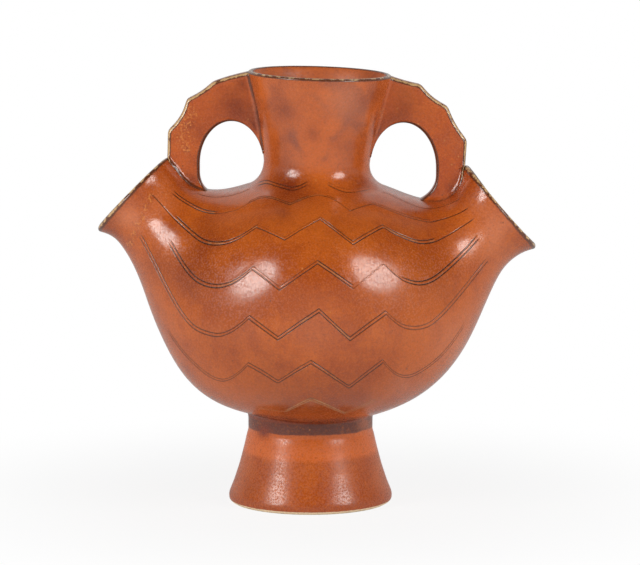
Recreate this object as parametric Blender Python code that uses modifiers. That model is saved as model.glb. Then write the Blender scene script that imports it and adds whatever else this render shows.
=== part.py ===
"""A stoneware flower vase: a belly with two side mouths, a flared neck, a turned foot and slab handles.

The potter's pieces are modelled one by one, in metres, +Z up, standing on Z = 0. The front is towards -Y.
The belly and its side mouths share one skin. That skin is a fan of closed sections: each section lies in
a plane that holds the pivot line, parallel to Y, above the belly, and the fan angle is measured from
straight down, positive towards +X. Every other piece is cut back to that skin by the luting joint.
"""

import math

import bmesh
import bpy
import numpy as np
from mathutils import Matrix, Vector

# Walls and joints
BODY_WALL = 0.0046
NECK_WALL = 0.0044
FOOT_WALL = 0.0056
LUTING_JOINT = 0.0003
OVERRUN = 0.012

# Belly and side mouths
BOWL_BOTTOM_HEIGHT = 0.0540
FAN_REACH = 0.2710
BELLY_HALF_DEPTH = 0.1010
BELLY_SEAM_BELOW_THROATS = 0.0147
MOUTH_LIP_ROUNDING = 0.0018
BELLY_UPPER_EXPONENT = 2.5
BELLY_LOWER_EXPONENT = 2.4
MOUTH_EXPONENT = 2.0

# Fan angle in degrees, then the upper and the lower radius as shares of FAN_REACH, then the half depth as
# a share of BELLY_HALF_DEPTH. The left mouth is at the negative end. The right one is longer and lower.
FAN_STATION_SHARES = (
    (-43.7, 0.5130, 0.7570, 0.3230),
    (-42.3, 0.5135, 0.7475, 0.3130),
    (-40.5, 0.5160, 0.7415, 0.3090),
    (-38.0, 0.5220, 0.7470, 0.3200),
    (-35.0, 0.5265, 0.7640, 0.3560),
    (-31.5, 0.5230, 0.7960, 0.4250),
    (-28.0, 0.5110, 0.8390, 0.5200),
    (-24.0, 0.4890, 0.8910, 0.6380),
    (-19.5, 0.4620, 0.9450, 0.7620),
    (-14.5, 0.4420, 0.9800, 0.8680),
    (-8.0, 0.4290, 0.9930, 0.9600),
    (0.0, 0.4240, 1.0000, 1.0000),
    (8.0, 0.4290, 0.9900, 0.9600),
    (14.5, 0.4460, 0.9680, 0.8680),
    (19.5, 0.4680, 0.9330, 0.7620),
    (24.0, 0.5020, 0.8860, 0.6380),
    (28.0, 0.5350, 0.8380, 0.5200),
    (31.5, 0.5550, 0.8010, 0.4250),
    (35.0, 0.5590, 0.7760, 0.3640),
    (37.6, 0.5510, 0.7710, 0.3400),
    (40.0, 0.5370, 0.7770, 0.3360),
    (41.7, 0.5220, 0.7880, 0.3420),
)
THROAT_ANGLES = (-35.0, 35.0)
SKIN_SIDES = 48
BELLY_RINGS = 19
MOUTH_RINGS = 6

# Neck
NECK_ABOVE_BELLY = 0.0110
NECK_RISE = 0.0580
NECK_NARROWEST_RADIUS = 0.0341
NECK_RIM_RADIUS = 0.0464
NECK_FILLET_RADIUS = 0.0140
NECK_FILLET_SWEEP = 68.0
NECK_LEAN = 1.9
NECK_SIDES = 48
NECK_FILLET_STEPS = 5
NECK_LIP_STEPS = 4

# Height above the narrowest place as a share of the way to the rim, and the flare as a share of its widest
NECK_FLARE_SHARES = (
    (1.00, 1.00),
    (0.91, 0.88),
    (0.78, 0.71),
    (0.65, 0.55),
    (0.47, 0.365),
    (0.32, 0.23),
    (0.16, 0.09),
    (0.00, 0.00),
)

# Foot
FOOT_COLLAR_HEIGHT = 0.0465
FOOT_COLLAR_RADIUS = 0.0403
FOOT_RADIUS = 0.0530
FOOT_CONTACT_WIDTH = 0.0034
FOOT_AXIS_OFFSET = 0.0041
FOOT_SIDES = 48

# Depth below the collar as a share of its height, and the flare as a share of its widest
FOOT_FLARE_SHARES = (
    (0.000, 0.015),
    (0.055, 0.075),
    (0.145, 0.150),
    (0.255, 0.245),
    (0.370, 0.355),
    (0.485, 0.470),
    (0.600, 0.605),
    (0.710, 0.740),
    (0.820, 0.900),
    (0.890, 0.985),
    (0.945, 0.985),
    (0.982, 0.910),
    (1.000, 0.800),
)

# Handles
HANDLE_THICKNESS = 0.0100
HANDLE_EDGE_ROUNDING = 0.0026
HANDLE_SETBACK_ANGLE = 0.4
HANDLE_POST_WIDTHS = (0.0201, 0.0173)
HANDLE_ROOT_FILLET = 0.0065
FINGER_HOLE_TOPS = (0.0268, 0.0258)
FINGER_ARCH_RISES = (0.0278, 0.0298)
FINGER_ARCH_SWEEP = 150.0
SCALLOP_STEPS = 6
HOLE_STEPS = 14
ROOT_STEPS = 4

# Scallop tips from the rim outwards: the reach as a share of the mouth lip's, the height above the lip as a
# share of the handle's rise, and how deep the scallop before the tip is, as a share of its chord
LEFT_TIP_SHARES = (
    (0.700, 0.885, -0.020),
    (0.876, 0.686, 0.050),
    (1.002, 0.325, 0.090),
)
RIGHT_TIP_SHARES = (
    (0.711, 0.915, 0.020),
    (0.896, 0.672, 0.070),
    (1.027, 0.300, 0.050),
)

# The fillet at the finger hole's outer bottom corner: across and up, as shares of its radius
FILLET_SHARES = ((-1.0, -0.8), (-1.0, 0.0), (-0.55, 0.35), (-0.2, 0.9))

# Colours in linear RGB, roughness
COLLECTION_NAME = "stoneware_vase"
CUTTER_COLLECTION_NAME = "vase_cutters"
GLAZE_BROWN = (0.155, 0.042, 0.018)
GLAZE_DARK = (0.085, 0.030, 0.020)
GLAZE_ROUGHNESS = 0.38


class SmoothTable:
    """A natural cubic spline through a table of keys and values."""

    def __init__(self, keys, values):
        self.keys = np.array(keys, dtype=float)
        self.values = np.array(values, dtype=float)
        self.bends = self._second_slopes()

    def _second_slopes(self):
        count = len(self.keys)
        steps = np.diff(self.keys)
        slopes = np.diff(self.values) / steps
        system = np.eye(count)
        right_side = np.zeros(count)
        for row in range(1, count - 1):
            system[row, row - 1] = steps[row - 1]
            system[row, row] = 2.0 * (steps[row - 1] + steps[row])
            system[row, row + 1] = steps[row]
            right_side[row] = 6.0 * (slopes[row] - slopes[row - 1])
        return np.linalg.solve(system, right_side)

    def at(self, key):
        """The value at a key; beyond the table's ends the last cubic runs on."""
        index = int(np.clip(np.searchsorted(self.keys, key) - 1, 0, len(self.keys) - 2))
        step = self.keys[index + 1] - self.keys[index]
        after = (key - self.keys[index]) / step
        before = 1.0 - after
        bend = (before**3 - before) * self.bends[index] + (after**3 - after) * self.bends[index + 1]
        line = before * self.values[index] + after * self.values[index + 1]
        return float(line + bend * step * step / 6.0)


class Skin:
    """The outer surface of the belly and its two side mouths."""

    def __init__(self):
        angles = [row[0] for row in FAN_STATION_SHARES]
        self.upper = SmoothTable(angles, [row[1] * FAN_REACH for row in FAN_STATION_SHARES])
        self.lower = SmoothTable(angles, [row[2] * FAN_REACH for row in FAN_STATION_SHARES])
        self.depth = SmoothTable(angles, [row[3] * BELLY_HALF_DEPTH for row in FAN_STATION_SHARES])
        self.first_angle = angles[0]
        self.last_angle = angles[-1]
        self.pivot_height = BOWL_BOTTOM_HEIGHT + FAN_REACH

    def exponents(self, angle):
        """How square the upper and the lower half of a section are; both ease to the round mouths."""
        widest = max(-self.first_angle, self.last_angle)
        belly_share = math.cos(math.radians(90.0 * min(abs(angle) / widest, 1.0))) ** 2
        upper = MOUTH_EXPONENT + (BELLY_UPPER_EXPONENT - MOUTH_EXPONENT) * belly_share
        lower = MOUTH_EXPONENT + (BELLY_LOWER_EXPONENT - MOUTH_EXPONENT) * belly_share
        return upper, lower

    def point(self, angle, turn):
        """A place on the skin; turn is 0 at the top of a section and a quarter turn at the front."""
        upper, lower = self.upper.at(angle), self.lower.at(angle)
        middle = 0.5 * (upper + lower)
        half_height = 0.5 * (lower - upper)
        along, across = math.cos(turn), math.sin(turn)
        upper_exponent, lower_exponent = self.exponents(angle)
        exponent = upper_exponent if along > 0.0 else lower_exponent
        reach = (abs(along) ** exponent + abs(across) ** exponent) ** (-1.0 / exponent)
        radius = middle - half_height * reach * along
        fan = math.radians(angle)
        return Vector((
            radius * math.sin(fan),
            -self.depth.at(angle) * reach * across,
            self.pivot_height - radius * math.cos(fan),
        ))

    def normal(self, angle, turn):
        """The outward direction of the skin there."""
        angle_step, turn_step = 0.05, 0.002
        along = self.point(angle + angle_step, turn) - self.point(angle - angle_step, turn)
        around = self.point(angle, turn + turn_step) - self.point(angle, turn - turn_step)
        return around.cross(along).normalized()

    def ring(self, angle, inset):
        """The points of one section, moved inwards by inset."""
        turns = [2.0 * math.pi * side / SKIN_SIDES for side in range(SKIN_SIDES)]
        return [self.point(angle, turn) - inset * self.normal(angle, turn) for turn in turns]

    def joint_angle(self, angle, gap):
        """The fan angle that spans a gap at the middle of the section at angle."""
        middle = 0.5 * (self.upper.at(angle) + self.lower.at(angle))
        return math.degrees(gap / middle)

    def top_height(self, angle):
        """The height of the skin's upper edge at a fan angle."""
        return self.pivot_height - self.upper.at(angle) * math.cos(math.radians(angle))

    def bottom_height(self, angle):
        """The height of the skin's lower edge at a fan angle."""
        return self.pivot_height - self.lower.at(angle) * math.cos(math.radians(angle))

    def top_place(self, angle, inset):
        """(X, Z) of a place inset below the upper edge, with X taken as positive on both sides."""
        radius = self.upper.at(angle) + inset
        fan = math.radians(angle)
        return Vector((radius * abs(math.sin(fan)), self.pivot_height - radius * math.cos(fan)))

    def top_angle(self, reach, side):
        """The fan angle on a side where the upper edge is at a distance reach from X = 0."""
        near, far = 0.0, self.first_angle if side < 0 else self.last_angle
        for _ in range(40):
            middle = 0.5 * (near + far)
            if self.top_place(middle, 0.0).x < reach:
                near = middle
            else:
                far = middle
        return near


def spread(first, last, count):
    """Evenly spaced values from first to last."""
    return [first + (last - first) * step / (count - 1) for step in range(count)]


def new_object(name, mesh, collection):
    """An object of the mesh, in the collection."""
    item = bpy.data.objects.new(name, mesh)
    collection.objects.link(item)
    return item


def make_cutter(item):
    """Mark an object as a cutter that isn't part of the vase."""
    item.hide_render = True
    item.display_type = "WIRE"
    return item


def cut(item, cutter):
    """Take the cutter's solid away from the item."""
    modifier = item.modifiers.new("cut_by_" + cutter.name, "BOOLEAN")
    modifier.operation = "DIFFERENCE"
    modifier.object = cutter


def bridge(mesh, rings):
    """Join each ring of vertices to the next with quads."""
    for first, second in zip(rings, rings[1:]):
        for index, corner in enumerate(first):
            after = (index + 1) % len(first)
            mesh.faces.new((corner, first[after], second[after], second[index]))


def finish_mesh(name, mesh):
    """Turn a bmesh into mesh data with its faces outward and smooth."""
    bmesh.ops.recalc_face_normals(mesh, faces=mesh.faces)
    data = bpy.data.meshes.new(name)
    mesh.to_mesh(data)
    mesh.free()
    data.shade_smooth()
    return data


def tube_mesh(name, skin, angles, rounded_end=None):
    """A walled length of the skin, open at both ends; the ring at rounded_end gets a rounded lip."""
    mesh = bmesh.new()
    outer = [[mesh.verts.new(point) for point in skin.ring(angle, 0.0)] for angle in angles]
    inner = [[mesh.verts.new(point) for point in skin.ring(angle, BODY_WALL)] for angle in angles]
    loop = outer + inner[::-1] + outer[:1]
    bridge(mesh, loop)
    if rounded_end is not None:
        index = angles.index(rounded_end)
        lip_corners = set(outer[index]) | set(inner[index])
        crossings = {
            edge for first, second in zip(outer[index], inner[index])
            for edge in first.link_edges if edge.other_vert(first) is second
        }
        lip = [
            edge for edge in mesh.edges
            if edge.verts[0] in lip_corners and edge.verts[1] in lip_corners and edge not in crossings
        ]
        bmesh.ops.bevel(
            mesh, geom=lip, offset=MOUTH_LIP_ROUNDING, segments=3, profile=0.5, affect="EDGES",
            clamp_overlap=True, material=-1,
        )
    return finish_mesh(name, mesh)


def plug_mesh(name, skin, outset):
    """The whole body as one solid, larger than the skin all round by outset."""
    mesh = bmesh.new()
    first = skin.first_angle - skin.joint_angle(skin.first_angle, outset)
    last = skin.last_angle + skin.joint_angle(skin.last_angle, outset)
    left = spread(first, THROAT_ANGLES[0], MOUTH_RINGS)[:-1]
    right = spread(THROAT_ANGLES[1], last, MOUTH_RINGS)[1:]
    angles = left + spread(*THROAT_ANGLES, BELLY_RINGS) + right
    rings = [[mesh.verts.new(point) for point in skin.ring(angle, -outset)] for angle in angles]
    bridge(mesh, rings)
    mesh.faces.new(rings[0])
    mesh.faces.new(rings[-1])
    return finish_mesh(name, mesh)


def belly_angles(skin, gap):
    """Fan angles of the belly's rings, which stop half a joint short of each throat."""
    first = THROAT_ANGLES[0] + skin.joint_angle(THROAT_ANGLES[0], 0.5 * gap)
    last = THROAT_ANGLES[1] - skin.joint_angle(THROAT_ANGLES[1], 0.5 * gap)
    return spread(first, last, BELLY_RINGS)


def mouth_angles(skin, side):
    """Fan angles of a side mouth's rings, from its throat joint to its lip; side is -1 or 1."""
    throat = THROAT_ANGLES[0] if side < 0 else THROAT_ANGLES[1]
    lip = skin.first_angle if side < 0 else skin.last_angle
    return spread(throat + side * skin.joint_angle(throat, 0.5 * LUTING_JOINT), lip, MOUTH_RINGS)


def turned_mesh(name, profile, sides, collection):
    """The mesh of a closed profile of (radius, height) turned once round the Z axis.

    The profile runs down its outer side and back up its inner side.
    """
    mesh = bmesh.new()
    corners = [mesh.verts.new((radius, 0.0, height)) for radius, height in profile]
    for index, corner in enumerate(corners):
        mesh.edges.new((corner, corners[(index + 1) % len(corners)]))
    data = bpy.data.meshes.new(name + "_profile")
    mesh.to_mesh(data)
    mesh.free()
    item = new_object(name + "_profile", data, collection)
    screw = item.modifiers.new("turn", "SCREW")
    screw.axis = "Z"
    screw.angle = 2.0 * math.pi
    screw.steps = sides
    screw.render_steps = sides
    screw.use_merge_vertices = True
    screw.merge_threshold = 0.00001
    screw.use_smooth_shade = True
    turned = mesh_of(item, name)
    bpy.data.objects.remove(item)
    return turned


def mesh_of(item, name):
    """The evaluated mesh of an object, with its doubles welded."""
    bpy.context.view_layer.update()
    evaluated = item.evaluated_get(bpy.context.evaluated_depsgraph_get())
    data = bpy.data.meshes.new_from_object(evaluated)
    mesh = bmesh.new()
    mesh.from_mesh(data)
    bpy.data.meshes.remove(data)
    bmesh.ops.remove_doubles(mesh, verts=mesh.verts, dist=0.00001)
    return finish_mesh(name, mesh)


def neck_outer_profile():
    """(radius, height) points down the neck's outer side, with heights above its narrowest place."""
    flare = NECK_RIM_RADIUS - NECK_NARROWEST_RADIUS
    points = [
        (NECK_NARROWEST_RADIUS + radius_share * flare, height_share * NECK_RISE)
        for height_share, radius_share in NECK_FLARE_SHARES
    ]
    points[0] = (NECK_RIM_RADIUS, NECK_RISE - 0.5 * NECK_WALL)
    for step in range(1, NECK_FILLET_STEPS + 1):
        sweep = math.radians(NECK_FILLET_SWEEP) * step / NECK_FILLET_STEPS
        points.append((
            NECK_NARROWEST_RADIUS + NECK_FILLET_RADIUS * (1.0 - math.cos(sweep)),
            -NECK_FILLET_RADIUS * math.sin(sweep),
        ))
    return points


def neck_profile():
    """The closed (radius, height) profile of the neck before the belly trims its base."""
    outer = neck_outer_profile()
    lip_radius = 0.5 * NECK_WALL
    lip = []
    for step in range(1, NECK_LIP_STEPS):
        turn = math.pi * step / NECK_LIP_STEPS
        lip.append((
            NECK_RIM_RADIUS - lip_radius + lip_radius * math.cos(turn),
            NECK_RISE - lip_radius + lip_radius * math.sin(turn),
        ))
    bore = [(radius - NECK_WALL, height) for radius, height in outer if height >= 0.0]
    base_height = -NECK_ABOVE_BELLY - OVERRUN
    base = [(outer[-1][0], base_height), (NECK_NARROWEST_RADIUS - NECK_WALL, base_height)]
    return outer + base + bore[::-1] + lip[::-1]


def neck_plug_profile(outset):
    """The closed profile of the neck's wall, thicker both ways, which trims the handles."""
    outer = [(radius + outset, height) for radius, height in neck_outer_profile()]
    base_height = -NECK_ABOVE_BELLY - OVERRUN
    top_height = NECK_RISE + OVERRUN
    inner_radius = 0.5 * (NECK_NARROWEST_RADIUS - NECK_WALL)
    return [
        (outer[0][0], top_height), *outer, (outer[-1][0], base_height),
        (inner_radius, base_height), (inner_radius, top_height),
    ]


def foot_profile():
    """The closed (radius, height) profile of the foot before the bowl trims its top."""
    flare = FOOT_RADIUS - FOOT_COLLAR_RADIUS
    outer = [(FOOT_COLLAR_RADIUS, BOWL_BOTTOM_HEIGHT + OVERRUN)]
    for depth_share, radius_share in FOOT_FLARE_SHARES:
        outer.append((
            FOOT_COLLAR_RADIUS + radius_share * flare,
            FOOT_COLLAR_HEIGHT * (1.0 - depth_share),
        ))
    hollow_radius = outer[-1][0] - FOOT_CONTACT_WIDTH
    hollow = [(hollow_radius, 0.0)]
    for radius, height in outer[::-1]:
        if height > FOOT_WALL:
            hollow.append((min(radius - FOOT_WALL, hollow_radius), height))
    return outer + hollow


def bowed_line(start, end, depth, steps):
    """Points after start up to end, on a line that bows inwards by depth halfway."""
    chord = end - start
    inwards = Vector((chord.y, -chord.x)).normalized()
    points = []
    for step in range(1, steps + 1):
        along = step / steps
        points.append(start + chord * along + inwards * depth * 4.0 * along * (1.0 - along))
    return points


def handle_outline(skin, side):
    """The (X, Z) outline of a slab handle: scalloped outside, arched over the finger hole inside.

    X is given as if the handle were on the +X side. It starts inside the neck's wall at the rim, runs
    outwards and down, and ends inside the neck's wall under the arch.
    """
    which = 0 if side < 0 else 1
    arch_rise = FINGER_ARCH_RISES[which]
    lip_angle = (skin.first_angle, skin.last_angle)[which]
    seat_angle = lip_angle - side * HANDLE_SETBACK_ANGLE
    seat = skin.top_place(seat_angle, 0.0)
    hole_reach = seat.x - HANDLE_POST_WIDTHS[which]
    lean = math.radians(NECK_LEAN)
    narrowest_height = neck_narrowest_height(skin)
    rim = Vector((
        NECK_RIM_RADIUS * math.cos(lean) + side * NECK_RISE * math.sin(lean),
        narrowest_height + NECK_RISE * math.cos(lean) - side * NECK_RIM_RADIUS * math.sin(lean),
    ))
    rim.y -= 0.25 * NECK_WALL
    inside_neck = 0.5 * NECK_NARROWEST_RADIUS
    outline = [Vector((inside_neck, rim.y - 0.5 * NECK_WALL)), rim]
    for reach_share, rise_share, depth_share in (LEFT_TIP_SHARES, RIGHT_TIP_SHARES)[which]:
        tip = Vector((reach_share * seat.x, seat.y + rise_share * (rim.y - seat.y)))
        depth = depth_share * (tip - outline[-1]).length
        outline.extend(bowed_line(outline[-1], tip, depth, SCALLOP_STEPS))
    outline.append(seat)
    root_depth = HANDLE_THICKNESS + HANDLE_EDGE_ROUNDING
    hole_angle = skin.top_angle(hole_reach, side)
    outline.extend(
        skin.top_place(angle, root_depth) for angle in spread(seat_angle, hole_angle, ROOT_STEPS)
    )
    hole_floor = skin.top_place(hole_angle, 0.0)
    for share in FILLET_SHARES:
        outline.append(hole_floor + HANDLE_ROOT_FILLET * Vector((share[0], share[1])))
    arch_middle = Vector((
        0.5 * (hole_reach + NECK_NARROWEST_RADIUS),
        narrowest_height + FINGER_HOLE_TOPS[which] - arch_rise,
    ))
    for step in range(HOLE_STEPS + 1):
        turn = math.radians(FINGER_ARCH_SWEEP) * step / HOLE_STEPS
        outline.append(arch_middle + Vector((
            0.5 * (hole_reach - NECK_NARROWEST_RADIUS) * math.cos(turn),
            arch_rise * math.sin(turn),
        )))
    outline.append(Vector((inside_neck, outline[-1].y)))
    return outline


def neck_narrowest_height(skin):
    """The height of the neck's narrowest place, which is also its object's origin."""
    return skin.top_height(0.0) + NECK_ABOVE_BELLY


def slab_mesh(name, outline, side, collection):
    """The mesh of a flat outline in X and Z, with its thickness along Y and its edges rounded."""
    curve = bpy.data.curves.new(name + "_outline", "CURVE")
    curve.dimensions = "2D"
    curve.fill_mode = "BOTH"
    curve.extrude = 0.5 * HANDLE_THICKNESS - HANDLE_EDGE_ROUNDING
    curve.bevel_depth = HANDLE_EDGE_ROUNDING
    curve.bevel_resolution = 1
    curve.offset = -HANDLE_EDGE_ROUNDING
    spline = curve.splines.new("POLY")
    spline.points.add(len(outline) - 1)
    for corner, place in zip(spline.points, outline):
        corner.co = (side * place.x, place.y, 0.0, 1.0)
    spline.use_cyclic_u = True
    item = new_object(name + "_outline", curve, collection)
    data = mesh_of(item, name)
    data.transform(Matrix.Rotation(math.radians(90.0), 4, "X"))
    bpy.data.objects.remove(item)
    bpy.data.curves.remove(curve)
    return data


def box_mesh(name, low, high):
    """The mesh of a box between two corners."""
    mesh = bmesh.new()
    bmesh.ops.create_cube(mesh, size=1.0)
    size = [top - bottom for bottom, top in zip(low, high)]
    middle = [0.5 * (top + bottom) for bottom, top in zip(low, high)]
    bmesh.ops.scale(mesh, vec=size, verts=mesh.verts)
    bmesh.ops.translate(mesh, vec=middle, verts=mesh.verts)
    return finish_mesh(name, mesh)


def glaze(name, colour):
    """A Principled material in a colour."""
    material = bpy.data.materials.new(name)
    material.use_nodes = True
    shader = material.node_tree.nodes["Principled BSDF"]
    shader.inputs["Base Color"].default_value = (*colour, 1.0)
    shader.inputs["Roughness"].default_value = GLAZE_ROUGHNESS
    shader.inputs["Metallic"].default_value = 0.0
    return material


def add_part(name, mesh, collection, colour):
    """A named piece of the vase with its own material."""
    item = new_object(name, mesh, collection)
    mesh.materials.clear()
    mesh.materials.append(glaze(name + "_glaze", colour))
    return item


def add_cutter(name, mesh, collection):
    """A named cutter."""
    return make_cutter(new_object(name, mesh, collection))


def set_upright(item, skin):
    """Put a turned neck piece in its place, with the neck's slight lean."""
    item.location = (0.0, 0.0, neck_narrowest_height(skin))
    item.rotation_euler = (0.0, math.radians(NECK_LEAN), 0.0)


def clear_scene():
    """Remove the objects that the file opened with."""
    for item in list(bpy.data.objects):
        bpy.data.objects.remove(item)


def main():
    """Build the vase."""
    clear_scene()
    parts = bpy.data.collections.new(COLLECTION_NAME)
    cutters = bpy.data.collections.new(CUTTER_COLLECTION_NAME)
    for collection in (parts, cutters):
        bpy.context.scene.collection.children.link(collection)
    skin = Skin()

    plug = add_cutter("body_plug", plug_mesh("body_plug", skin, LUTING_JOINT), cutters)
    neck_plug = add_cutter(
        "neck_plug", turned_mesh("neck_plug", neck_plug_profile(LUTING_JOINT), NECK_SIDES, cutters), cutters,
    )
    set_upright(neck_plug, skin)
    reach = skin.lower.at(skin.first_angle) + OVERRUN
    seam_height = min(skin.bottom_height(angle) for angle in THROAT_ANGLES) - BELLY_SEAM_BELOW_THROATS
    seam_low = seam_height - 0.5 * LUTING_JOINT
    seam_high = seam_height + 0.5 * LUTING_JOINT
    above = add_cutter("above_seam", box_mesh(
        "above_seam", (-reach, -reach, seam_low), (reach, reach, skin.pivot_height),
    ), cutters)
    below = add_cutter("below_seam", box_mesh(
        "below_seam", (-reach, -reach, -OVERRUN), (reach, reach, seam_high),
    ), cutters)
    neck_bore_mesh = bmesh.new()
    bore_radius = NECK_NARROWEST_RADIUS - NECK_WALL
    bmesh.ops.create_cone(
        neck_bore_mesh, cap_ends=True, segments=NECK_SIDES, radius1=bore_radius, radius2=bore_radius,
        depth=2.0 * (NECK_ABOVE_BELLY + BODY_WALL + OVERRUN),
    )
    neck_bore = add_cutter("neck_bore", finish_mesh("neck_bore", neck_bore_mesh), cutters)
    set_upright(neck_bore, skin)

    foot = add_part("foot", turned_mesh("foot", foot_profile(), FOOT_SIDES, parts), parts, GLAZE_BROWN)
    foot.location = (-FOOT_AXIS_OFFSET, 0.0, 0.0)
    cut(foot, plug)

    belly = belly_angles(skin, LUTING_JOINT)
    lower_bowl = add_part("lower_bowl", tube_mesh("lower_bowl", skin, belly), parts, GLAZE_BROWN)
    cut(lower_bowl, above)
    upper_shell = add_part("upper_shell", tube_mesh("upper_shell", skin, belly), parts, GLAZE_BROWN)
    cut(upper_shell, below)
    cut(upper_shell, neck_bore)

    neck = add_part("neck", turned_mesh("neck", neck_profile(), NECK_SIDES, parts), parts, GLAZE_DARK)
    set_upright(neck, skin)
    cut(neck, plug)

    for name, side in (("left", -1), ("right", 1)):
        angles = mouth_angles(skin, side)
        mouth_name = name + "_mouth"
        add_part(mouth_name, tube_mesh(mouth_name, skin, angles, angles[-1]), parts, GLAZE_BROWN)
        handle_name = name + "_handle"
        slab = slab_mesh(handle_name, handle_outline(skin, side), side, parts)
        handle = add_part(handle_name, slab, parts, GLAZE_DARK)
        cut(handle, plug)
        cut(handle, neck_plug)


main()
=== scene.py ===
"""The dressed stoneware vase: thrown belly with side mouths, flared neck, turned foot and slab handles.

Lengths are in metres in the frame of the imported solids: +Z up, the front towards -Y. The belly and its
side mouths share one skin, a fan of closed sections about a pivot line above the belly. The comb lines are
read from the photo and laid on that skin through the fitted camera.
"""

import logging
import math
from dataclasses import dataclass, field
from enum import Enum
from typing import Callable, Iterable, NamedTuple, Sequence

import bmesh
import bpy
import numpy as np
from bmesh.types import BMEdge, BMesh, BMVert
from bpy.types import Material, Object
from mathutils import Matrix, Vector


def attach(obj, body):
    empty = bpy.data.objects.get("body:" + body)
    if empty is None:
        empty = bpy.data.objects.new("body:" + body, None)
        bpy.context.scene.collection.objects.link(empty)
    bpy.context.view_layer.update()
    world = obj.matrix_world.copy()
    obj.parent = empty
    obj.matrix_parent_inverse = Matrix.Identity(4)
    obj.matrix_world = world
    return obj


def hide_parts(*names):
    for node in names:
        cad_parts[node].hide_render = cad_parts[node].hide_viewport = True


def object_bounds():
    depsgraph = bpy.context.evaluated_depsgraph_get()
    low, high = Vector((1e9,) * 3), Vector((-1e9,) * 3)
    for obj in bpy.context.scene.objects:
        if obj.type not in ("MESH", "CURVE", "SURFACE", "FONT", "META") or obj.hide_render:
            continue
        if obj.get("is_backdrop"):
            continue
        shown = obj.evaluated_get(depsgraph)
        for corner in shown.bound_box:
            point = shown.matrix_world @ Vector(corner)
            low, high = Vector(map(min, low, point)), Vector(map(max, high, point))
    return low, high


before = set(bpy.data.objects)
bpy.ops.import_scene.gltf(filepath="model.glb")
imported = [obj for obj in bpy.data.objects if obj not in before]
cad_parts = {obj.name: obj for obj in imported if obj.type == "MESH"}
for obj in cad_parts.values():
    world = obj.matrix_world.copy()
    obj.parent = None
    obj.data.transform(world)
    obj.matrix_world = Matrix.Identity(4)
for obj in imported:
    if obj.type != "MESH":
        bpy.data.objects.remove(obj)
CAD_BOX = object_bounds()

LOG = logging.getLogger("vase")
MILLIMETRE = 0.001
WELD = 0.000002
# The distance in millimetres that is stored where no comb line is near.
COMB_FAR = 8.0
QUARTER_TURN = 0.5 * math.pi
FULL_TURN = 2.0 * math.pi
UP = Vector((0.0, 0.0, 1.0))

Pixel = tuple[float, float]
Colour = tuple[float, float, float]
Range = tuple[float, float]


class Layer(Enum):
    """Names of the values that pieces carry from their mesh to their finish."""

    COMB_DISTANCE = "comb_distance"
    COMB_STRENGTH = "comb_strength"
    EDGE = "edge"
    RING = "ring"
    TURN = "turn"
    ANGLE = "angle"
    NORMAL = "smooth_normal"
    BARE = "bare"
    # Tone clouds: the glaze's own tone together with painted shade and painted reflections.
    TONE = "tone"
    CRAWL = "crawl"


# The values that a mesh holds while it is built, and those that its finish doesn't read.
MESH_LAYERS = tuple(layer for layer in Layer if layer not in (Layer.TONE, Layer.CRAWL))
SPARE_LAYERS = (Layer.NORMAL, Layer.RING, Layer.TURN, Layer.ANGLE)
Layers = dict[Layer, object]


@dataclass(frozen=True)
class PhotoCamera:
    """The camera of the photo, fitted to the ellipses of the rim and the foot."""

    place: tuple[float, float, float] = (0.0020, -2.650, 0.522)
    aim: tuple[float, float, float] = (0.0021, 0.0, 0.1428)
    focal_pixels: float = 4142.0
    width: int = 640
    height: int = 565
    sensor_millimetres: float = 36.0
    clip_end: float = 60.0

    def axes(self) -> tuple[Vector, Vector, Vector]:
        """The camera's forward, right and up directions."""
        forward = (Vector(self.aim) - Vector(self.place)).normalized()
        right = forward.cross(UP).normalized()
        return forward, right, right.cross(forward)

    def pixel(self, point: Vector) -> Vector:
        """Where a point lands in the photo.

        Args:
            point: A place in metres.

        Returns:
            The pixel column and row.
        """
        forward, right, up = self.axes()
        offset = point - Vector(self.place)
        away = offset.dot(forward)
        return Vector((
            0.5 * self.width + self.focal_pixels * offset.dot(right) / away,
            0.5 * self.height - self.focal_pixels * offset.dot(up) / away,
        ))

    def front_pixels(self, places: np.ndarray) -> np.ndarray:
        """Where many places land in the photo, with those at the back brought round to the front.

        Args:
            places: One place in metres on each row.

        Returns:
            One pixel column and row on each row.
        """
        forward, right, up = (np.array(axis) for axis in self.axes())
        offset = places * (1.0, 0.0, 1.0) - np.abs(places) * (0.0, 1.0, 0.0) - np.array(self.place)
        away = offset @ forward
        across = 0.5 * self.width + self.focal_pixels * (offset @ right) / away
        down = 0.5 * self.height - self.focal_pixels * (offset @ up) / away
        return np.stack((across, down), axis=1)

    def height_at(self, row: float, depth: float) -> float:
        """The height that a pixel row shows on the upright plane at Y = depth."""
        forward, _, up = self.axes()
        ray = forward * self.focal_pixels + up * (0.5 * self.height - row)
        reach = (depth - self.place[1]) / ray.y
        return self.place[2] + ray.z * reach

    def build(self) -> None:
        """Put the camera in the scene and make it the scene's own."""
        data = bpy.data.cameras.new("photo_camera")
        data.sensor_width = self.sensor_millimetres
        data.lens = self.focal_pixels / self.width * self.sensor_millimetres
        data.clip_end = self.clip_end
        place = Vector(self.place)
        bpy.context.scene.camera = aimed("photo_camera", data, place, Vector(self.aim) - place)


def linked(name: str, data: bpy.types.ID) -> Object:
    """An object that is in the scene."""
    item = bpy.data.objects.new(name, data)
    bpy.context.scene.collection.objects.link(item)
    return item


def aimed(name: str, data: bpy.types.ID, place: Vector, way: Vector) -> Object:
    """A camera or lamp in the scene, at a place and facing a way."""
    item = linked(name, data)
    item.location = place
    item.rotation_euler = way.to_track_quat("-Z", "Y").to_euler()
    return item


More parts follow.
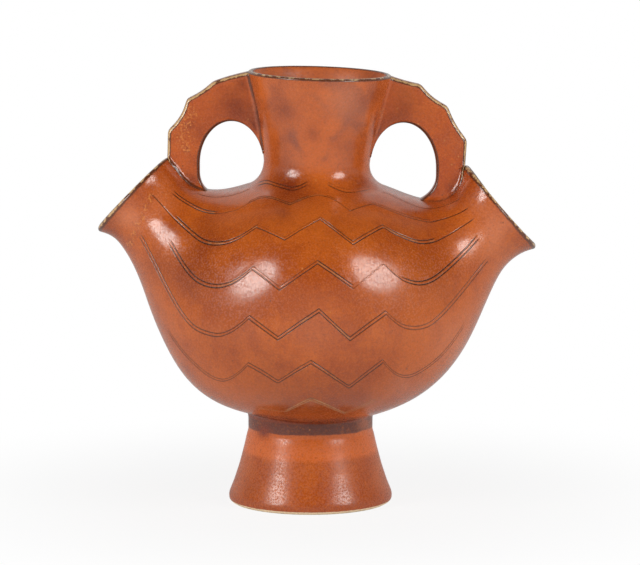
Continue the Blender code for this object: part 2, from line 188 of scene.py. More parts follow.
class SmoothTable:
    """A natural cubic spline through rows of a key and a value."""

    def __init__(self, rows: Iterable[tuple[float, float]]) -> None:
        """Keep the rows and work out their bends."""
        self.keys, self.values = np.array(list(rows), dtype=float).T
        self.bends = self._bends()

    def _bends(self) -> np.ndarray:
        """The second slopes at the keys."""
        count = len(self.keys)
        steps = np.diff(self.keys)
        slopes = np.diff(self.values) / steps
        system = np.eye(count)
        right_side = np.zeros(count)
        for row in range(1, count - 1):
            system[row, row - 1] = steps[row - 1]
            system[row, row] = 2.0 * (steps[row - 1] + steps[row])
            system[row, row + 1] = steps[row]
            right_side[row] = 6.0 * (slopes[row] - slopes[row - 1])
        return np.linalg.solve(system, right_side)

    def at(self, key: float) -> float:
        """The value at a key; beyond the ends the last cubic runs on."""
        index = int(np.clip(np.searchsorted(self.keys, key) - 1, 0, len(self.keys) - 2))
        step = self.keys[index + 1] - self.keys[index]
        after = (key - self.keys[index]) / step
        before = 1.0 - after
        bend = (before**3 - before) * self.bends[index] + (after**3 - after) * self.bends[index + 1]
        line = before * self.values[index] + after * self.values[index + 1]
        return float(line + bend * step * step / 6.0)


def clamped(value: float, low: float, high: float) -> float:
    """A value held between two others."""
    return min(max(value, low), high)


def eased(value: float, low: float, high: float) -> float:
    """A smooth step from 0 at low to 1 at high."""
    share = clamped((value - low) / (high - low), 0.0, 1.0)
    return share * share * (3.0 - 2.0 * share)


def spread(first: float, last: float, count: int) -> list[float]:
    """Evenly spaced values from first to last."""
    return [first + (last - first) * step / (count - 1) for step in range(count)]


@dataclass
class Skin:
    """The outer surface of the belly and its side mouths.

    It is the solids' own, but for fronts of the mouths up to 2 mm fuller, as their long highlights show.
    Each station is a fan angle in degrees, then the nearest and farthest reach from the pivot line and the
    half depth there, as shares of the whole.
    """

    fan_reach: float = 0.2710
    bowl_bottom: float = 0.0540
    half_depth: float = 0.10098
    wall: float = 0.0046
    upper_exponent: float = 2.5
    lower_exponent: float = 2.4
    mouth_exponent: float = 2.0
    throats: tuple[float, float] = (-35.0, 35.0)
    seam_below_throats: float = 0.0147
    angle_probe: float = 0.05
    turn_probe: float = 0.002
    stations: tuple[tuple[float, float, float, float], ...] = (
        (-43.7, 0.5130, 0.7570, 0.3230),
        (-42.3, 0.5135, 0.7475, 0.3130),
        (-40.5, 0.5160, 0.7415, 0.3130),
        (-38.0, 0.5220, 0.7470, 0.3320),
        (-35.0, 0.5265, 0.7640, 0.3760),
        (-31.5, 0.5230, 0.7960, 0.4370),
        (-28.0, 0.5110, 0.8390, 0.5200),
        (-24.0, 0.4890, 0.8910, 0.6380),
        (-19.5, 0.4620, 0.9450, 0.7620),
        (-14.5, 0.4420, 0.9800, 0.8680),
        (-8.0, 0.4290, 0.9930, 0.9600),
        (0.0, 0.4240, 1.0000, 1.0000),
        (8.0, 0.4290, 0.9900, 0.9600),
        (14.5, 0.4460, 0.9680, 0.8680),
        (19.5, 0.4680, 0.9330, 0.7620),
        (24.0, 0.5020, 0.8860, 0.6380),
        (28.0, 0.5350, 0.8380, 0.5200),
        (31.5, 0.5550, 0.8010, 0.4370),
        (35.0, 0.5590, 0.7760, 0.3840),
        (37.6, 0.5510, 0.7710, 0.3560),
        (40.0, 0.5370, 0.7770, 0.3440),
        (41.7, 0.5220, 0.7880, 0.3420),
    )

    def __post_init__(self) -> None:
        """Fit a smooth table to each column of the stations."""
        self.upper, self.lower, self.depth = (
            SmoothTable((row[0], row[column] * size) for row in self.stations)
            for column, size in ((1, self.fan_reach), (2, self.fan_reach), (3, self.half_depth))
        )
        self.first_angle = self.stations[0][0]
        self.last_angle = self.stations[-1][0]
        self.pivot_height = self.bowl_bottom + self.fan_reach

    def section(self, angle: float) -> Callable[[float], Vector]:
        """One closed section of the fan.

        Args:
            angle: Fan angle in degrees, positive towards +X.

        Returns:
            A function from the turn (0 on top, a quarter turn in front) to the place on the skin.
        """
        upper, lower, depth = self.upper.at(angle), self.lower.at(angle), self.depth.at(angle)
        middle, half = 0.5 * (upper + lower), 0.5 * (lower - upper)
        widest = max(-self.first_angle, self.last_angle)
        share = math.cos(math.radians(90.0 * min(abs(angle) / widest, 1.0))) ** 2
        exponents = [
            self.mouth_exponent + (exponent - self.mouth_exponent) * share
            for exponent in (self.upper_exponent, self.lower_exponent)
        ]
        sine, cosine = math.sin(math.radians(angle)), math.cos(math.radians(angle))

        def place(turn: float) -> Vector:
            """The place on the skin at a turn."""
            along, across = math.cos(turn), math.sin(turn)
            exponent = exponents[0] if along > 0.0 else exponents[1]
            reach = (abs(along) ** exponent + abs(across) ** exponent) ** (-1.0 / exponent)
            radius = middle - half * reach * along
            return Vector((radius * sine, -depth * reach * across, self.pivot_height - radius * cosine))

        return place

    def point(self, angle: float, turn: float) -> Vector:
        """A place on the skin."""
        return self.section(angle)(turn)

    def normal(self, angle: float, turn: float) -> Vector:
        """The outward direction of the skin there."""
        along = self.point(angle + self.angle_probe, turn) - self.point(angle - self.angle_probe, turn)
        around = self.point(angle, turn + self.turn_probe) - self.point(angle, turn - self.turn_probe)
        return around.cross(along).normalized()

    def beyond(self, angle: float, turn: float) -> Vector:
        """The direction along the skin towards the near end of the fan."""
        step = math.copysign(self.angle_probe, angle)
        along = self.point(angle, turn) - self.point(angle - step, turn)
        return level_with(along, self.normal(angle, turn))

    def joint_angle(self, angle: float, gap: float) -> float:
        """The fan angle that spans a gap at the middle of a section."""
        return math.degrees(gap / (0.5 * (self.upper.at(angle) + self.lower.at(angle))))

    def seam_height(self) -> float:
        """The height of the seam between the thrown halves of the belly."""
        drops = [self.lower.at(angle) * math.cos(math.radians(angle)) for angle in self.throats]
        return self.pivot_height - max(drops) - self.seam_below_throats

    def top_place(self, angle: float) -> Vector:
        """(X, Z) of the top of a section, with X taken as positive."""
        radius, fan = self.upper.at(angle), math.radians(angle)
        return Vector((radius * abs(math.sin(fan)), self.pivot_height - radius * math.cos(fan)))

    def solve(
        self, miss: Callable[[Vector], Vector], angle: float, turn: float, steps: int = 40,
    ) -> tuple[float, float]:
        """Find the place on the skin where a two-part miss is nil, by Newton's method.

        Args:
            miss: From a place on the skin to how far off it is, in two numbers.
            angle: The fan angle to start from.
            turn: The turn to start from.
            steps: The most steps to take.

        Returns:
            The fan angle and the turn.
        """
        near_enough, too_flat = 1e-7, 1e-14
        angle_probe, turn_probe = 0.01, 0.001
        damping, most_angle, most_turn = 0.8, 2.0, 0.1
        for _ in range(steps):
            here = miss(self.point(angle, turn))
            if here.length < near_enough:
                break
            by_angle = (miss(self.point(angle + angle_probe, turn)) - here) / angle_probe
            by_turn = (miss(self.point(angle, turn + turn_probe)) - here) / turn_probe
            size = by_angle.x * by_turn.y - by_angle.y * by_turn.x
            if abs(size) < too_flat:
                break
            angle_step = (-here.x * by_turn.y + here.y * by_turn.x) / size
            turn_step = (-by_angle.x * here.y + by_angle.y * here.x) / size
            angle += damping * clamped(angle_step, -most_angle, most_angle)
            turn += damping * clamped(turn_step, -most_turn, most_turn)
            angle = clamped(angle, self.first_angle, self.last_angle)
        return angle, turn

    def trace(self, camera: PhotoCamera, pixel: Pixel) -> tuple[float, float]:
        """The fan angle and turn that a pixel of the photo shows on the front of the skin."""
        target = Vector(pixel)
        across = (pixel[0] - 0.5 * camera.width) * camera.place[1] / -camera.focal_pixels
        up = camera.height_at(pixel[1], 0.0)
        start = math.degrees(math.atan2(across, self.pivot_height - up))
        just_below_front = math.radians(95.0)
        return self.solve(lambda place: camera.pixel(place) - target, start, just_below_front)

    def under(self, middle: Vector, direction: Vector, reach: float, turn: float) -> tuple[Vector, Vector]:
        """The skin straight above or below a place that is some reach from a middle.

        Args:
            middle: The plan position that the reach starts from.
            direction: The unit direction in plan.
            reach: How far out.
            turn: 0 to look at the top of the skin, or half a turn for its underside.

        Returns:
            The place and the outward direction there.
        """
        target = Vector((middle.x + direction.x * reach, middle.y + direction.y * reach))
        angle, found = self.solve(
            lambda place: Vector((place.x, place.y)) - target,
            math.degrees(target.x / (self.upper if turn == 0.0 else self.lower).at(0.0)),
            turn + (-target.y if turn == 0.0 else target.y) / self.half_depth,
        )
        return self.point(angle, found), self.normal(angle, found)


def level_with(way: Vector, normal: Vector) -> Vector:
    """The part of a direction that lies in the plane across a normal, as a unit vector."""
    return (way - normal * way.dot(normal)).normalized()


@dataclass(frozen=True)
class Stroke:
    """One pull of the two-toothed comb, read from the photo.

    Attributes:
        path: Pixels midway between the two lines, from left to right.
        upper: How deep the upper line is, from 0 to 1.
        lower: How deep the lower line is, from 0 to 1.
    """

    path: tuple[Pixel, ...]
    upper: float
    lower: float


def chain(start: Pixel, *pulls: tuple) -> tuple[Stroke, ...]:
    """Strokes that follow each other, each from the last pixel of the one before.

    Args:
        start: The first pixel of the first stroke.
        pulls: How deep each stroke's upper and lower lines are, and then its other pixels.

    Returns:
        The strokes.
    """
    strokes = []
    for upper, lower, *pixels in pulls:
        strokes.append(Stroke((start, *pixels), upper, lower))
        start = pixels[-1]
    return tuple(strokes)


BELLY_BANDS: tuple[tuple[Stroke, ...], ...] = (
    chain(
        (198, 193),
        (0.3, 0.9, (216, 196.6), (231, 195), (257, 185), (262, 182.5)),
    ) + chain(
        (366, 188),
        (0.25, 0.8, (383, 191.5), (409, 203), (426, 208), (447, 204), (459, 198)),
    ),
    chain(
        (174, 193),
        (1.0, 1.0, (188, 203), (203.5, 210.5), (216, 212.6)),
        (0.0, 0.5, (228, 211), (239, 208), (247, 203.5)),
        (0.9, 1.0, (257, 198.5), (267, 197), (279, 200), (290, 204.0)),
        (0.9, 1.0, (304, 198), (316, 195), (328, 196.5), (336, 200)),
        (0.0, 0.8, (342, 204), (350, 210)),
        (0.0, 0.8, (361, 206), (373, 203)),
        (0.55, 0.75, (396, 212), (414, 218), (430, 221)),
        (0.0, 0.9, (449, 216), (467, 207)),
    ),
    chain(
        (155, 195),
        (0.0, 0.7, (166, 207), (176, 218)),
        (1.0, 1.0, (191, 232), (203.5, 241), (217, 243.5), (231, 241), (245, 234), (257, 226)),
        (0.25, 0.9, (270, 231.5), (285, 238.5)),
        (0.3, 0.9, (302, 228), (320, 218)),
        (0.9, 1.0, (336, 230), (353, 243)),
        (0.7, 1.0, (368, 234), (383, 226)),
        (0.9, 1.0, (393, 232), (404, 237), (421, 242), (435, 240)),
        (0.0, 0.8, (447, 234), (460, 226), (472, 218)),
    ),
    chain(
        (170.5, 243.5),
        (0.9, 1.0, (183, 264), (196, 279), (208.5, 285), (219, 286), (234, 281.5), (244, 275),
         (253, 267.5)),
        (0.35, 0.8, (266, 277.5), (279.5, 288.5)),
        (0.5, 0.9, (298, 275.5), (317.5, 262)),
        (1.0, 0.9, (335, 274), (353, 287)),
        (0.0, 0.3, (368, 274.5), (383, 262)),
        (0.0, 0.9, (393, 271.5), (403, 279)),
        (1.0, 1.0, (416, 283), (431.5, 280), (443, 272), (452, 264), (477, 238)),
    ),
    chain(
        (141, 237),
        (0.8, 0.8, (155, 264), (168, 290), (181, 312), (193, 326), (208.5, 333.5), (217, 335), (231, 331),
         (240, 325), (249, 317)),
        (0.8, 0.9, (263, 327.5), (278, 338.5)),
        (0.9, 1.0, (298, 324.5), (319, 310.5)),
        (1.0, 0.9, (334, 324.5), (350, 339)),
        (0.8, 0.8, (368, 325.5), (386, 312.5)),
        (0.6, 0.7, (398.5, 323.5), (414, 328), (429, 324.5), (444, 312), (467, 285), (487, 260)),
    ),
    chain(
        (169, 332),
        (0.7, 0.8, (181, 349), (196, 365), (211, 376.5), (225, 380), (236, 375), (248, 364)),
        (0.8, 0.8, (263, 372.5), (278, 382)),
        (0.7, 0.9, (294, 372), (311, 362)),
        (1.0, 0.9, (330, 374.5), (349, 387)),
        (0.7, 0.9, (366, 374), (383, 361)),
        (0.7, 0.7, (393.5, 372), (406, 376.5), (421, 371), (439, 357.5), (454, 340), (464, 324.5)),
    ),
    chain(
        (258, 407),
        (0.0, 0.35, (272, 409.5), (286, 411)),
        (0.9, 0.7, (298, 405), (311, 399)),
        (1.0, 0.6, (328, 406), (345, 413)),
        (0.3, 0.4, (360, 407), (374.5, 400)),
    ),
)

NECK_STROKES = chain(
    (258, 184.5),
    (0.8, 0.9, (266, 182), (274, 184), (284, 187), (292, 189.0)),
    (0.9, 0.8, (300, 187), (307, 183.5)),
) + chain(
    (328, 183.5),
    (0.2, 0.8, (336, 187.5), (345, 190.5), (353, 191)),
    (0.1, 0.5, (362, 189.5), (370, 188)),
)


@dataclass(frozen=True)
class Cloud:
    """A soft cloud in the glaze, read from the photo.

    Attributes:
        pixel: Its middle.
        radius: How far it reaches, in pixels.
        amount: How strong it is; below 0 it darkens the tone.
    """

    pixel: Pixel
    radius: float
    amount: float


def clouds(*rows: tuple[float, float, float, float]) -> tuple[Cloud, ...]:
    """Clouds from rows of a column, a row, a radius and an amount."""
    return tuple(Cloud((column, row), radius, amount) for column, row, radius, amount in rows)


# The tone clouds are partly the glaze's own darker and paler patches and partly painted light: painted shade
# where the handles meet the neck and under the bowl, and painted reflections on the right mouth and low on the
# right of the belly.
TONE_AND_PAINTED_LIGHT_CLOUDS = clouds(
    (284, 160, 17, -0.55), (288, 186, 15, -0.85), (283, 212, 11, -0.55), (278, 105, 11, -0.45),
    (288, 111, 8, -0.55), (313, 134, 7, -0.55), (352, 146, 13, -0.30), (376, 92, 10, -0.45),
    (360, 184, 9, -0.45), (345, 100, 20, 0.50), (206, 236, 18, -0.50), (188, 268, 22, -0.55),
    (155, 268, 16, -0.40), (190, 290, 14, -0.35), (430, 276, 15, -0.35), (446, 296, 14, -0.25),
    (335, 234, 12, -0.25), (270, 368, 24, -0.25), (215, 345, 26, -0.20), (315, 330, 30, 0.25),
    (160, 205, 16, 0.35), (498, 230, 22, 0.60), (458, 345, 28, 0.35), (230, 105, 12, -0.30),
    (192, 182, 9, -0.70), (451, 192, 8, -0.45), (311, 412, 50, -0.25), (126, 218, 14, 0.65),
    (480, 205, 14, 0.35), (241, 112, 10, -0.60), (243, 84, 6, -0.50), (386, 122, 10, -0.45),
    (369, 100, 9, -0.45), (264, 431, 7, -1.00), (364, 423, 9, 0.60), (308, 193, 13, -0.40),
    (288, 412, 12, -0.40), (347, 412, 12, -0.40), (470, 245, 16, 0.45), (257, 124, 6, -1.20),
    (377, 132, 5, -1.00), (403, 112, 12, -0.35), (446, 196, 9, 0.45), (201, 132, 12, -0.45),
    (344, 150, 22, -0.20), (250, 488, 14, -0.30), (120, 236, 12, -0.35), (169, 229, 12, -0.35),
    (508, 236, 10, -0.30), (278, 90, 9, -0.35), (283, 140, 7, -0.40), (196, 160, 9, -0.40),
    (212, 274, 10, -0.35), (402, 387, 14, 0.35), (345, 403, 9, 0.35), (434, 192, 6, -0.40),
)
CRAWL_CLOUDS = clouds(
    (130, 243, 4.8, 0.55), (134, 234, 4.6, 0.50), (138, 225, 4.6, 0.50), (142, 216, 4.6, 0.52),
    (146, 207, 4.8, 0.55), (151, 198, 5.2, 0.62), (187, 150, 4.0, 0.55), (181, 137, 15, 0.42),
    (190, 114, 15, 0.40), (382, 114, 3.5, 1.0), (196, 231, 12, 0.30), (240, 190, 20, 0.18),
)


@dataclass(frozen=True)
class Comb:
    """The two-toothed comb: where its lines run beside its middle, all in millimetres."""

    tooth_offset: float = 1.15
    half_line: float = 0.42
    depth: float = 0.30
    burr: float = 0.05
    burr_end: float = 2.0
    groove_spread: float = 1.07
    fade_degrees: float = 0.45
    offsets: tuple[float, ...] = (-2.1, -1.6, -1.15, -0.7, 0.0, 0.7, 1.15, 1.6, 2.1)

    def carve(self, offset: float) -> float:
        """How deep the clay is pressed in at an offset from the comb's middle, in millimetres."""
        beside = abs(abs(offset) - self.tooth_offset)
        groove = max(0.0, 1.0 - beside / (self.groove_spread * self.half_line))
        burr = self.burr if beside > self.half_line and abs(offset) < self.burr_end else 0.0
        return self.depth * groove - burr


class CombBand:
    """One zigzag band across the front, traced onto the skin."""

    def __init__(self, strokes: Sequence[Stroke], skin: Skin, camera: PhotoCamera, comb: Comb) -> None:
        """Trace each stroke's pixels to fan angles and turns.

        Args:
            strokes: The band's strokes from left to right.
            skin: The skin that carries them.
            camera: The camera of the photo.
            comb: The comb that drew them.
        """
        self.fade = comb.fade_degrees
        self.strokes = list(strokes)
        self.paths = [SmoothTable(skin.trace(camera, pixel) for pixel in stroke.path) for stroke in strokes]
        self.start = float(self.paths[0].keys[0])
        self.end = float(self.paths[-1].keys[-1])

    def spans(self, angle: float) -> bool:
        """Whether the band reaches a fan angle."""
        return self.start <= angle <= self.end

    def turn(self, angle: float) -> float:
        """The turn of the band's middle; held beyond its ends, and straight across its gaps."""
        if angle <= self.start:
            return float(self.paths[0].values[0])
        if angle >= self.end:
            return float(self.paths[-1].values[-1])
        index, path = next((index, path) for index, path in enumerate(self.paths) if angle <= path.keys[-1])
        if angle >= path.keys[0]:
            return path.at(angle)
        before = self.paths[index - 1]
        share = (angle - before.keys[-1]) / (path.keys[0] - before.keys[-1])
        return float(before.values[-1] + share * (path.values[0] - before.values[-1]))

    def strengths(self, angle: float) -> tuple[float, float]:
        """How deep the upper and the lower line are at a fan angle, with fades between strokes."""
        upper = lower = 0.0
        for stroke, path in zip(self.strokes, self.paths):
            share = eased(min(angle - path.keys[0], path.keys[-1] - angle), -self.fade, self.fade)
            upper += stroke.upper * share
            lower += stroke.lower * share
        return min(upper, 1.0), min(lower, 1.0)


def add_layers(mesh: BMesh) -> Layers:
    """Give a mesh its value layers.

    Args:
        mesh: The mesh to prepare.

    Returns:
        The layers by name.
    """
    made: Layers = {}
    for layer in MESH_LAYERS:
        kind = mesh.verts.layers.float_vector if layer is Layer.NORMAL else mesh.verts.layers.float
        made[layer] = kind.get(layer.value) or kind.new(layer.value)
    return made


def all_of(mesh: BMesh) -> list:
    """Every corner, edge and face of a mesh."""
    return mesh.verts[:] + mesh.edges[:] + mesh.faces[:]


def border_loops(mesh: BMesh) -> list[list[BMEdge]]:
    """The closed loops of open edges, the longest first."""
    left = dict.fromkeys(edge for edge in mesh.edges if edge.is_boundary)
    loops: list[list[BMEdge]] = []
    while left:
        edge, _ = left.popitem()
        loop, front = [edge], list(edge.verts)
        while front:
            for other in front.pop().link_edges:
                if other in left:
                    del left[other]
                    loop.append(other)
                    front.extend(other.verts)
        loops.append(loop)
    return sorted(loops, key=len, reverse=True)


def corners_of(edges: Iterable[BMEdge]) -> list[BMVert]:
    """The corners of some edges, each once."""
    return list(dict.fromkeys(corner for edge in edges for corner in edge.verts))


def middle_of(edges: Iterable[BMEdge]) -> Vector:
    """The mean place of some edges."""
    corners = corners_of(edges)
    return sum((corner.co for corner in corners), Vector()) / len(corners)


def keep_normals(mesh: BMesh, layers: Layers) -> None:
    """Remember the smooth normals, so that cut pieces still shade as one surface."""
    mesh.normal_update()
    for corner in mesh.verts:
        corner[layers[Layer.NORMAL]] = corner.normal


def add_clouds(data: bpy.types.Mesh, layer: Layer, clouds: Sequence[Cloud]) -> None:
    """Store how much of some clouds each corner of a mesh has.

    Args:
        data: The mesh.
        layer: The value to store.
        clouds: The clouds.
    """
    places = np.zeros(3 * len(data.vertices))
    data.vertices.foreach_get("co", places)
    pixels = PhotoCamera().front_pixels(places.reshape(-1, 3))
    amount = np.zeros(len(pixels))
    for cloud in clouds:
        away = np.linalg.norm(pixels - np.array(cloud.pixel), axis=1) / cloud.radius
        amount += cloud.amount * np.exp(-away * away)
    data.attributes.new(layer.value, "FLOAT", "POINT").data.foreach_set("value", amount)


def finished(node: str, mesh: BMesh, finish: Material) -> Object:
    """Turn a mesh into a piece that rides on the root body.

    Args:
        node: The solid that the piece stands for.
        mesh: The mesh, which is freed.
        finish: Its material.

    Returns:
        The piece.
    """
    data = bpy.data.meshes.new("glazed_" + node)
    mesh.to_mesh(data)
    mesh.free()
    data.shade_smooth()
    normals = np.zeros(3 * len(data.vertices))
    data.attributes[Layer.NORMAL.value].data.foreach_get("vector", normals)
    normals = normals.reshape(-1, 3)
    lengths = np.linalg.norm(normals, axis=1, keepdims=True)
    stored = lengths > 0.5
    normals = np.where(stored, normals / np.where(stored, lengths, 1.0), 0.0)
    data.normals_split_custom_set_from_vertices([tuple(normal) for normal in normals])
    for layer in SPARE_LAYERS:
        data.attributes.remove(data.attributes[layer.value])
    # The tone clouds carry painted shade and painted reflections along with the glaze's tone.
    add_clouds(data, Layer.TONE, TONE_AND_PAINTED_LIGHT_CLOUDS)
    add_clouds(data, Layer.CRAWL, CRAWL_CLOUDS)
    data.materials.append(finish)
    item = linked("glazed_" + node, data)
    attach(item, "root")
    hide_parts(node)
    LOG.info("%s: %d faces for %s", item.name, len(data.polygons), node)
    return item


def grid_mesh(columns: int, rows: int) -> tuple[BMesh, Layers, list[tuple[BMVert, int, int]]]:
    """A flat grid, with the column and row of each corner.

    Args:
        columns: How many corners across.
        rows: How many corners up.

    Returns:
        The mesh, its layers, and its corners with their column and row.
    """
    mesh = bmesh.new()
    layers = add_layers(mesh)
    bmesh.ops.create_grid(mesh, x_segments=columns - 1, y_segments=rows - 1, size=1.0)
    places = []
    for corner in mesh.verts:
        column = round(0.5 * (corner.co.x + 1.0) * (columns - 1))
        row = round(0.5 * (corner.co.y + 1.0) * (rows - 1))
        places.append((corner, column, row))
    return mesh, layers, places


class Row(NamedTuple):
    """One row of a column of the skin.

    Attributes:
        turn: Its turn on the section.
        distance: How far the nearest band's middle is, in millimetres.
        strength: How deep the comb goes there, from 0 to 1.
        carve: The depth of its groove in metres.
    """

    turn: float
    distance: float
    strength: float = 0.0
    carve: float = 0.0


@dataclass
class BellyShell:
    """The belly and its side mouths: one combed skin, parted into the potter's four pieces."""

    skin: Skin
    camera: PhotoCamera
    comb: Comb = field(default_factory=Comb)
    lip_reach: float = 0.0017
    lip_wear: tuple[float, ...] = (0.45, 0.85, 1.0, 0.95, 0.55, 0.30, 0.0)
    bore_cut: float = 0.0345
    zigzag_end: float = 17.5
    column_counts: tuple[int, ...] = (17, 31, 150, 31, 14)
    gap_rows: tuple[int, ...] = (12, 4, 5, 6, 6, 6, 5, 14)
    inner_inset: float = 0.8
    inner_counts: tuple[int, ...] = (7, 56, 6)
    inner_rows: int = 40
    left_tilt: float = 0.100
    right_tilt: float = 0.060
    turn_probe: float = 0.004

    def __post_init__(self) -> None:
        """Trace the bands and lay out the columns."""
        self.bands = [CombBand(strokes, self.skin, self.camera, self.comb) for strokes in BELLY_BANDS]
        skin = self.skin
        self.left_lip = skin.first_angle + skin.joint_angle(skin.first_angle, self.lip_reach)
        self.right_lip = skin.last_angle - skin.joint_angle(skin.last_angle, self.lip_reach)
        left, right = skin.throats
        stops = (self.left_lip, left, -self.zigzag_end, self.zigzag_end, right, self.right_lip)
        self.columns = self._stations(stops, self.column_counts)
        inner_stops = (self.left_lip + self.inner_inset, left, right, self.right_lip - self.inner_inset)
        self.inner_columns = self._stations(inner_stops, self.inner_counts)

    @staticmethod
    def _stations(stops: Sequence[float], counts: Sequence[int]) -> list[float]:
        """Fan angles with some steps between each stop and the next."""
        angles = [stops[0]]
        for start, stop, count in zip(stops, stops[1:], counts):
            angles.extend(spread(start, stop, count + 1)[1:])
        return angles

    def band_turns(self, angle: float) -> list[float]:
        """The turn of each band's middle at a fan angle.

        A band that has ended keeps its share of the way between its neighbour and the top or the bottom,
        so that rows never cross.
        """
        turns = [band.turn(angle) for band in self.bands]
        for index, towards, limit in ((1, 1, 0.0), (0, 1, 0.0), (5, -1, math.pi), (6, -1, math.pi)):
            band, other = self.bands[index], self.bands[index + towards]
            if not band.spans(angle):
                end = band.start if angle < band.start else band.end
                share = (limit - band.turn(end)) / (limit - other.turn(end))
                turns[index] = limit - share * (limit - turns[index + towards])
        return turns

    def gap(self, index: int, start: float, stop: float, speed: float) -> list[Row]:
        """The plain rows between two bands, or between a band and the top or the bottom.

        Args:
            index: 0 for the gap above the first band, and so on down to the one under the last.
            start: The turn that the gap starts at.
            stop: The turn that it ends at.
            speed: Metres of skin for each radian of turn.

        Returns:
            The rows.
        """
        count = self.gap_rows[index]
        top, bottom = index == 0, index == len(self.bands)
        rows = []
        for step in range(0 if top else 1, count + 2 if bottom else count + 1):
            turn = start + (stop - start) * step / (count + 1)
            near = min(math.inf if bottom else stop - turn, math.inf if top else turn - start)
            rows.append(Row(turn, min(self.comb.offsets[-1] + near * speed / MILLIMETRE, COMB_FAR)))
        return rows

    def column(self, angle: float) -> list[Row]:
        """One column of the skin at a fan angle, from the top round the front to the bottom."""
        place = self.skin.section(angle)
        rows: list[Row] = []
        last, probe = 0.0, self.turn_probe
        for index, (band, middle) in enumerate(zip(self.bands, self.band_turns(angle))):
            speed = (place(middle + probe) - place(middle - probe)).length / (2.0 * probe)
            upper, lower = band.strengths(angle)
            rows += self.gap(index, last, middle + self.comb.offsets[0] * MILLIMETRE / speed, speed)
            for offset in self.comb.offsets:
                strength = 0.5 * (upper + lower) if offset == 0.0 else (upper if offset < 0.0 else lower)
                carve = self.comb.carve(offset) * strength * MILLIMETRE
                rows.append(Row(middle + offset * MILLIMETRE / speed, abs(offset), strength, carve))
            last = rows[-1].turn
        return rows + self.gap(len(self.bands), last, math.pi, speed)

    def outer_sheet(self) -> BMesh:
        """The combed outside with both rounded lips."""
        columns = [self.column(angle) for angle in self.columns]
        mesh, layers, places = grid_mesh(len(columns), len(columns[0]))
        sections = [self.skin.section(angle) for angle in self.columns]
        for corner, column, index in places:
            row, angle = columns[column][index], self.columns[column]
            corner.co = sections[column](row.turn)
            if row.carve != 0.0:
                corner.co -= self.skin.normal(angle, row.turn) * row.carve
            corner[layers[Layer.COMB_DISTANCE]] = row.distance
            corner[layers[Layer.COMB_STRENGTH]] = row.strength
            corner[layers[Layer.TURN]] = row.turn
            corner[layers[Layer.ANGLE]] = angle
        self._close_round(mesh)
        for angle in (self.left_lip, self.right_lip):
            self._roll_lip(mesh, layers, angle)
        self._tilt_mouths(mesh, layers)
        bmesh.ops.recalc_face_normals(mesh, faces=mesh.faces)
        keep_normals(mesh, layers)
        return mesh

    def _tilt_mouths(self, mesh: BMesh, layers: Layers) -> None:
        """Lean each mouth's opening back a little, so that its lip is seen edge on, as in the photo."""
        left, right = self.skin.throats
        for corner in mesh.verts:
            angle = corner[layers[Layer.ANGLE]]
            if left <= angle <= right:
                continue
            tilt = self.left_tilt if angle < 0.0 else self.right_tilt
            throat, lip = (left, self.left_lip) if angle < 0.0 else (right, self.right_lip)
            share = eased(abs(angle), abs(throat) + 1.0, abs(lip))
            fan = math.radians(angle)
            way = Vector((math.cos(fan), 0.0, math.sin(fan))) * math.copysign(1.0, angle)
            corner.co -= way * corner.co.y * tilt * share

    @staticmethod
    def _close_round(mesh: BMesh) -> None:
        """Mirror the front half to the back and weld the two."""
        bmesh.ops.mirror(mesh, geom=all_of(mesh), matrix=Matrix.Identity(4), merge_dist=WELD, axis="Y")
        bmesh.ops.remove_doubles(mesh, verts=mesh.verts, dist=WELD)

    def _roll_lip(self, mesh: BMesh, layers: Layers, angle: float) -> None:
        """Roll the open end at a fan angle over to the inside, ring by ring."""
        edges = [edge for edge in mesh.edges if edge.is_boundary and edge.verts[0].co.x * angle > 0.0]
        for corner in corners_of(edges):
            corner[layers[Layer.EDGE]] = self.lip_wear[0]
        half = 0.5 * self.skin.wall
        steps = len(self.lip_wear) - 1
        for step in range(1, steps + 1):
            bend = math.pi * step / steps
            made = bmesh.ops.extrude_edge_only(mesh, edges=edges)["geom"]
            for corner in (item for item in made if isinstance(item, BMVert)):
                turn = corner[layers[Layer.TURN]]
                place = self.skin.point(angle, turn)
                place -= self.skin.normal(angle, turn) * half * (1.0 - math.cos(bend))
                place += self.skin.beyond(angle, turn) * self.lip_reach * math.sin(bend)
                if corner.co.y > WELD:
                    place.y = -place.y
                corner.co = place
                corner[layers[Layer.EDGE]] = self.lip_wear[step]
                corner[layers[Layer.COMB_STRENGTH]] = 0.0
            edges = [item for item in made if isinstance(item, BMEdge) and item.is_boundary]

    def inner_sheet(self) -> BMesh:
        """The plain inside of the belly and mouths."""
        mesh, layers, places = grid_mesh(len(self.inner_columns), self.inner_rows)
        last = self.inner_rows - 1
        for corner, column, row in places:
            angle, turn = self.inner_columns[column], math.pi * row / last
            corner.co = self.skin.point(angle, turn) - self.skin.normal(angle, turn) * self.skin.wall
            if row in (0, last):
                corner.co.y = 0.0
            corner[layers[Layer.COMB_DISTANCE]] = COMB_FAR
            corner[layers[Layer.ANGLE]] = angle
        self._close_round(mesh)
        self._tilt_mouths(mesh, layers)
        bmesh.ops.recalc_face_normals(mesh, faces=mesh.faces)
        bmesh.ops.reverse_faces(mesh, faces=mesh.faces)
        return mesh

    def _open_neck(self, mesh: BMesh) -> None:
        """Cut the round hole under the neck."""
        near_top = 0.85 * self.skin.top_place(0.0).y
        doomed = {
            face for corner in mesh.verts for face in corner.link_faces
            if math.hypot(corner.co.x, corner.co.y) < self.bore_cut and corner.co.z > near_top
        }
        bmesh.ops.delete(mesh, geom=[face for face in mesh.faces if face in doomed], context="FACES")

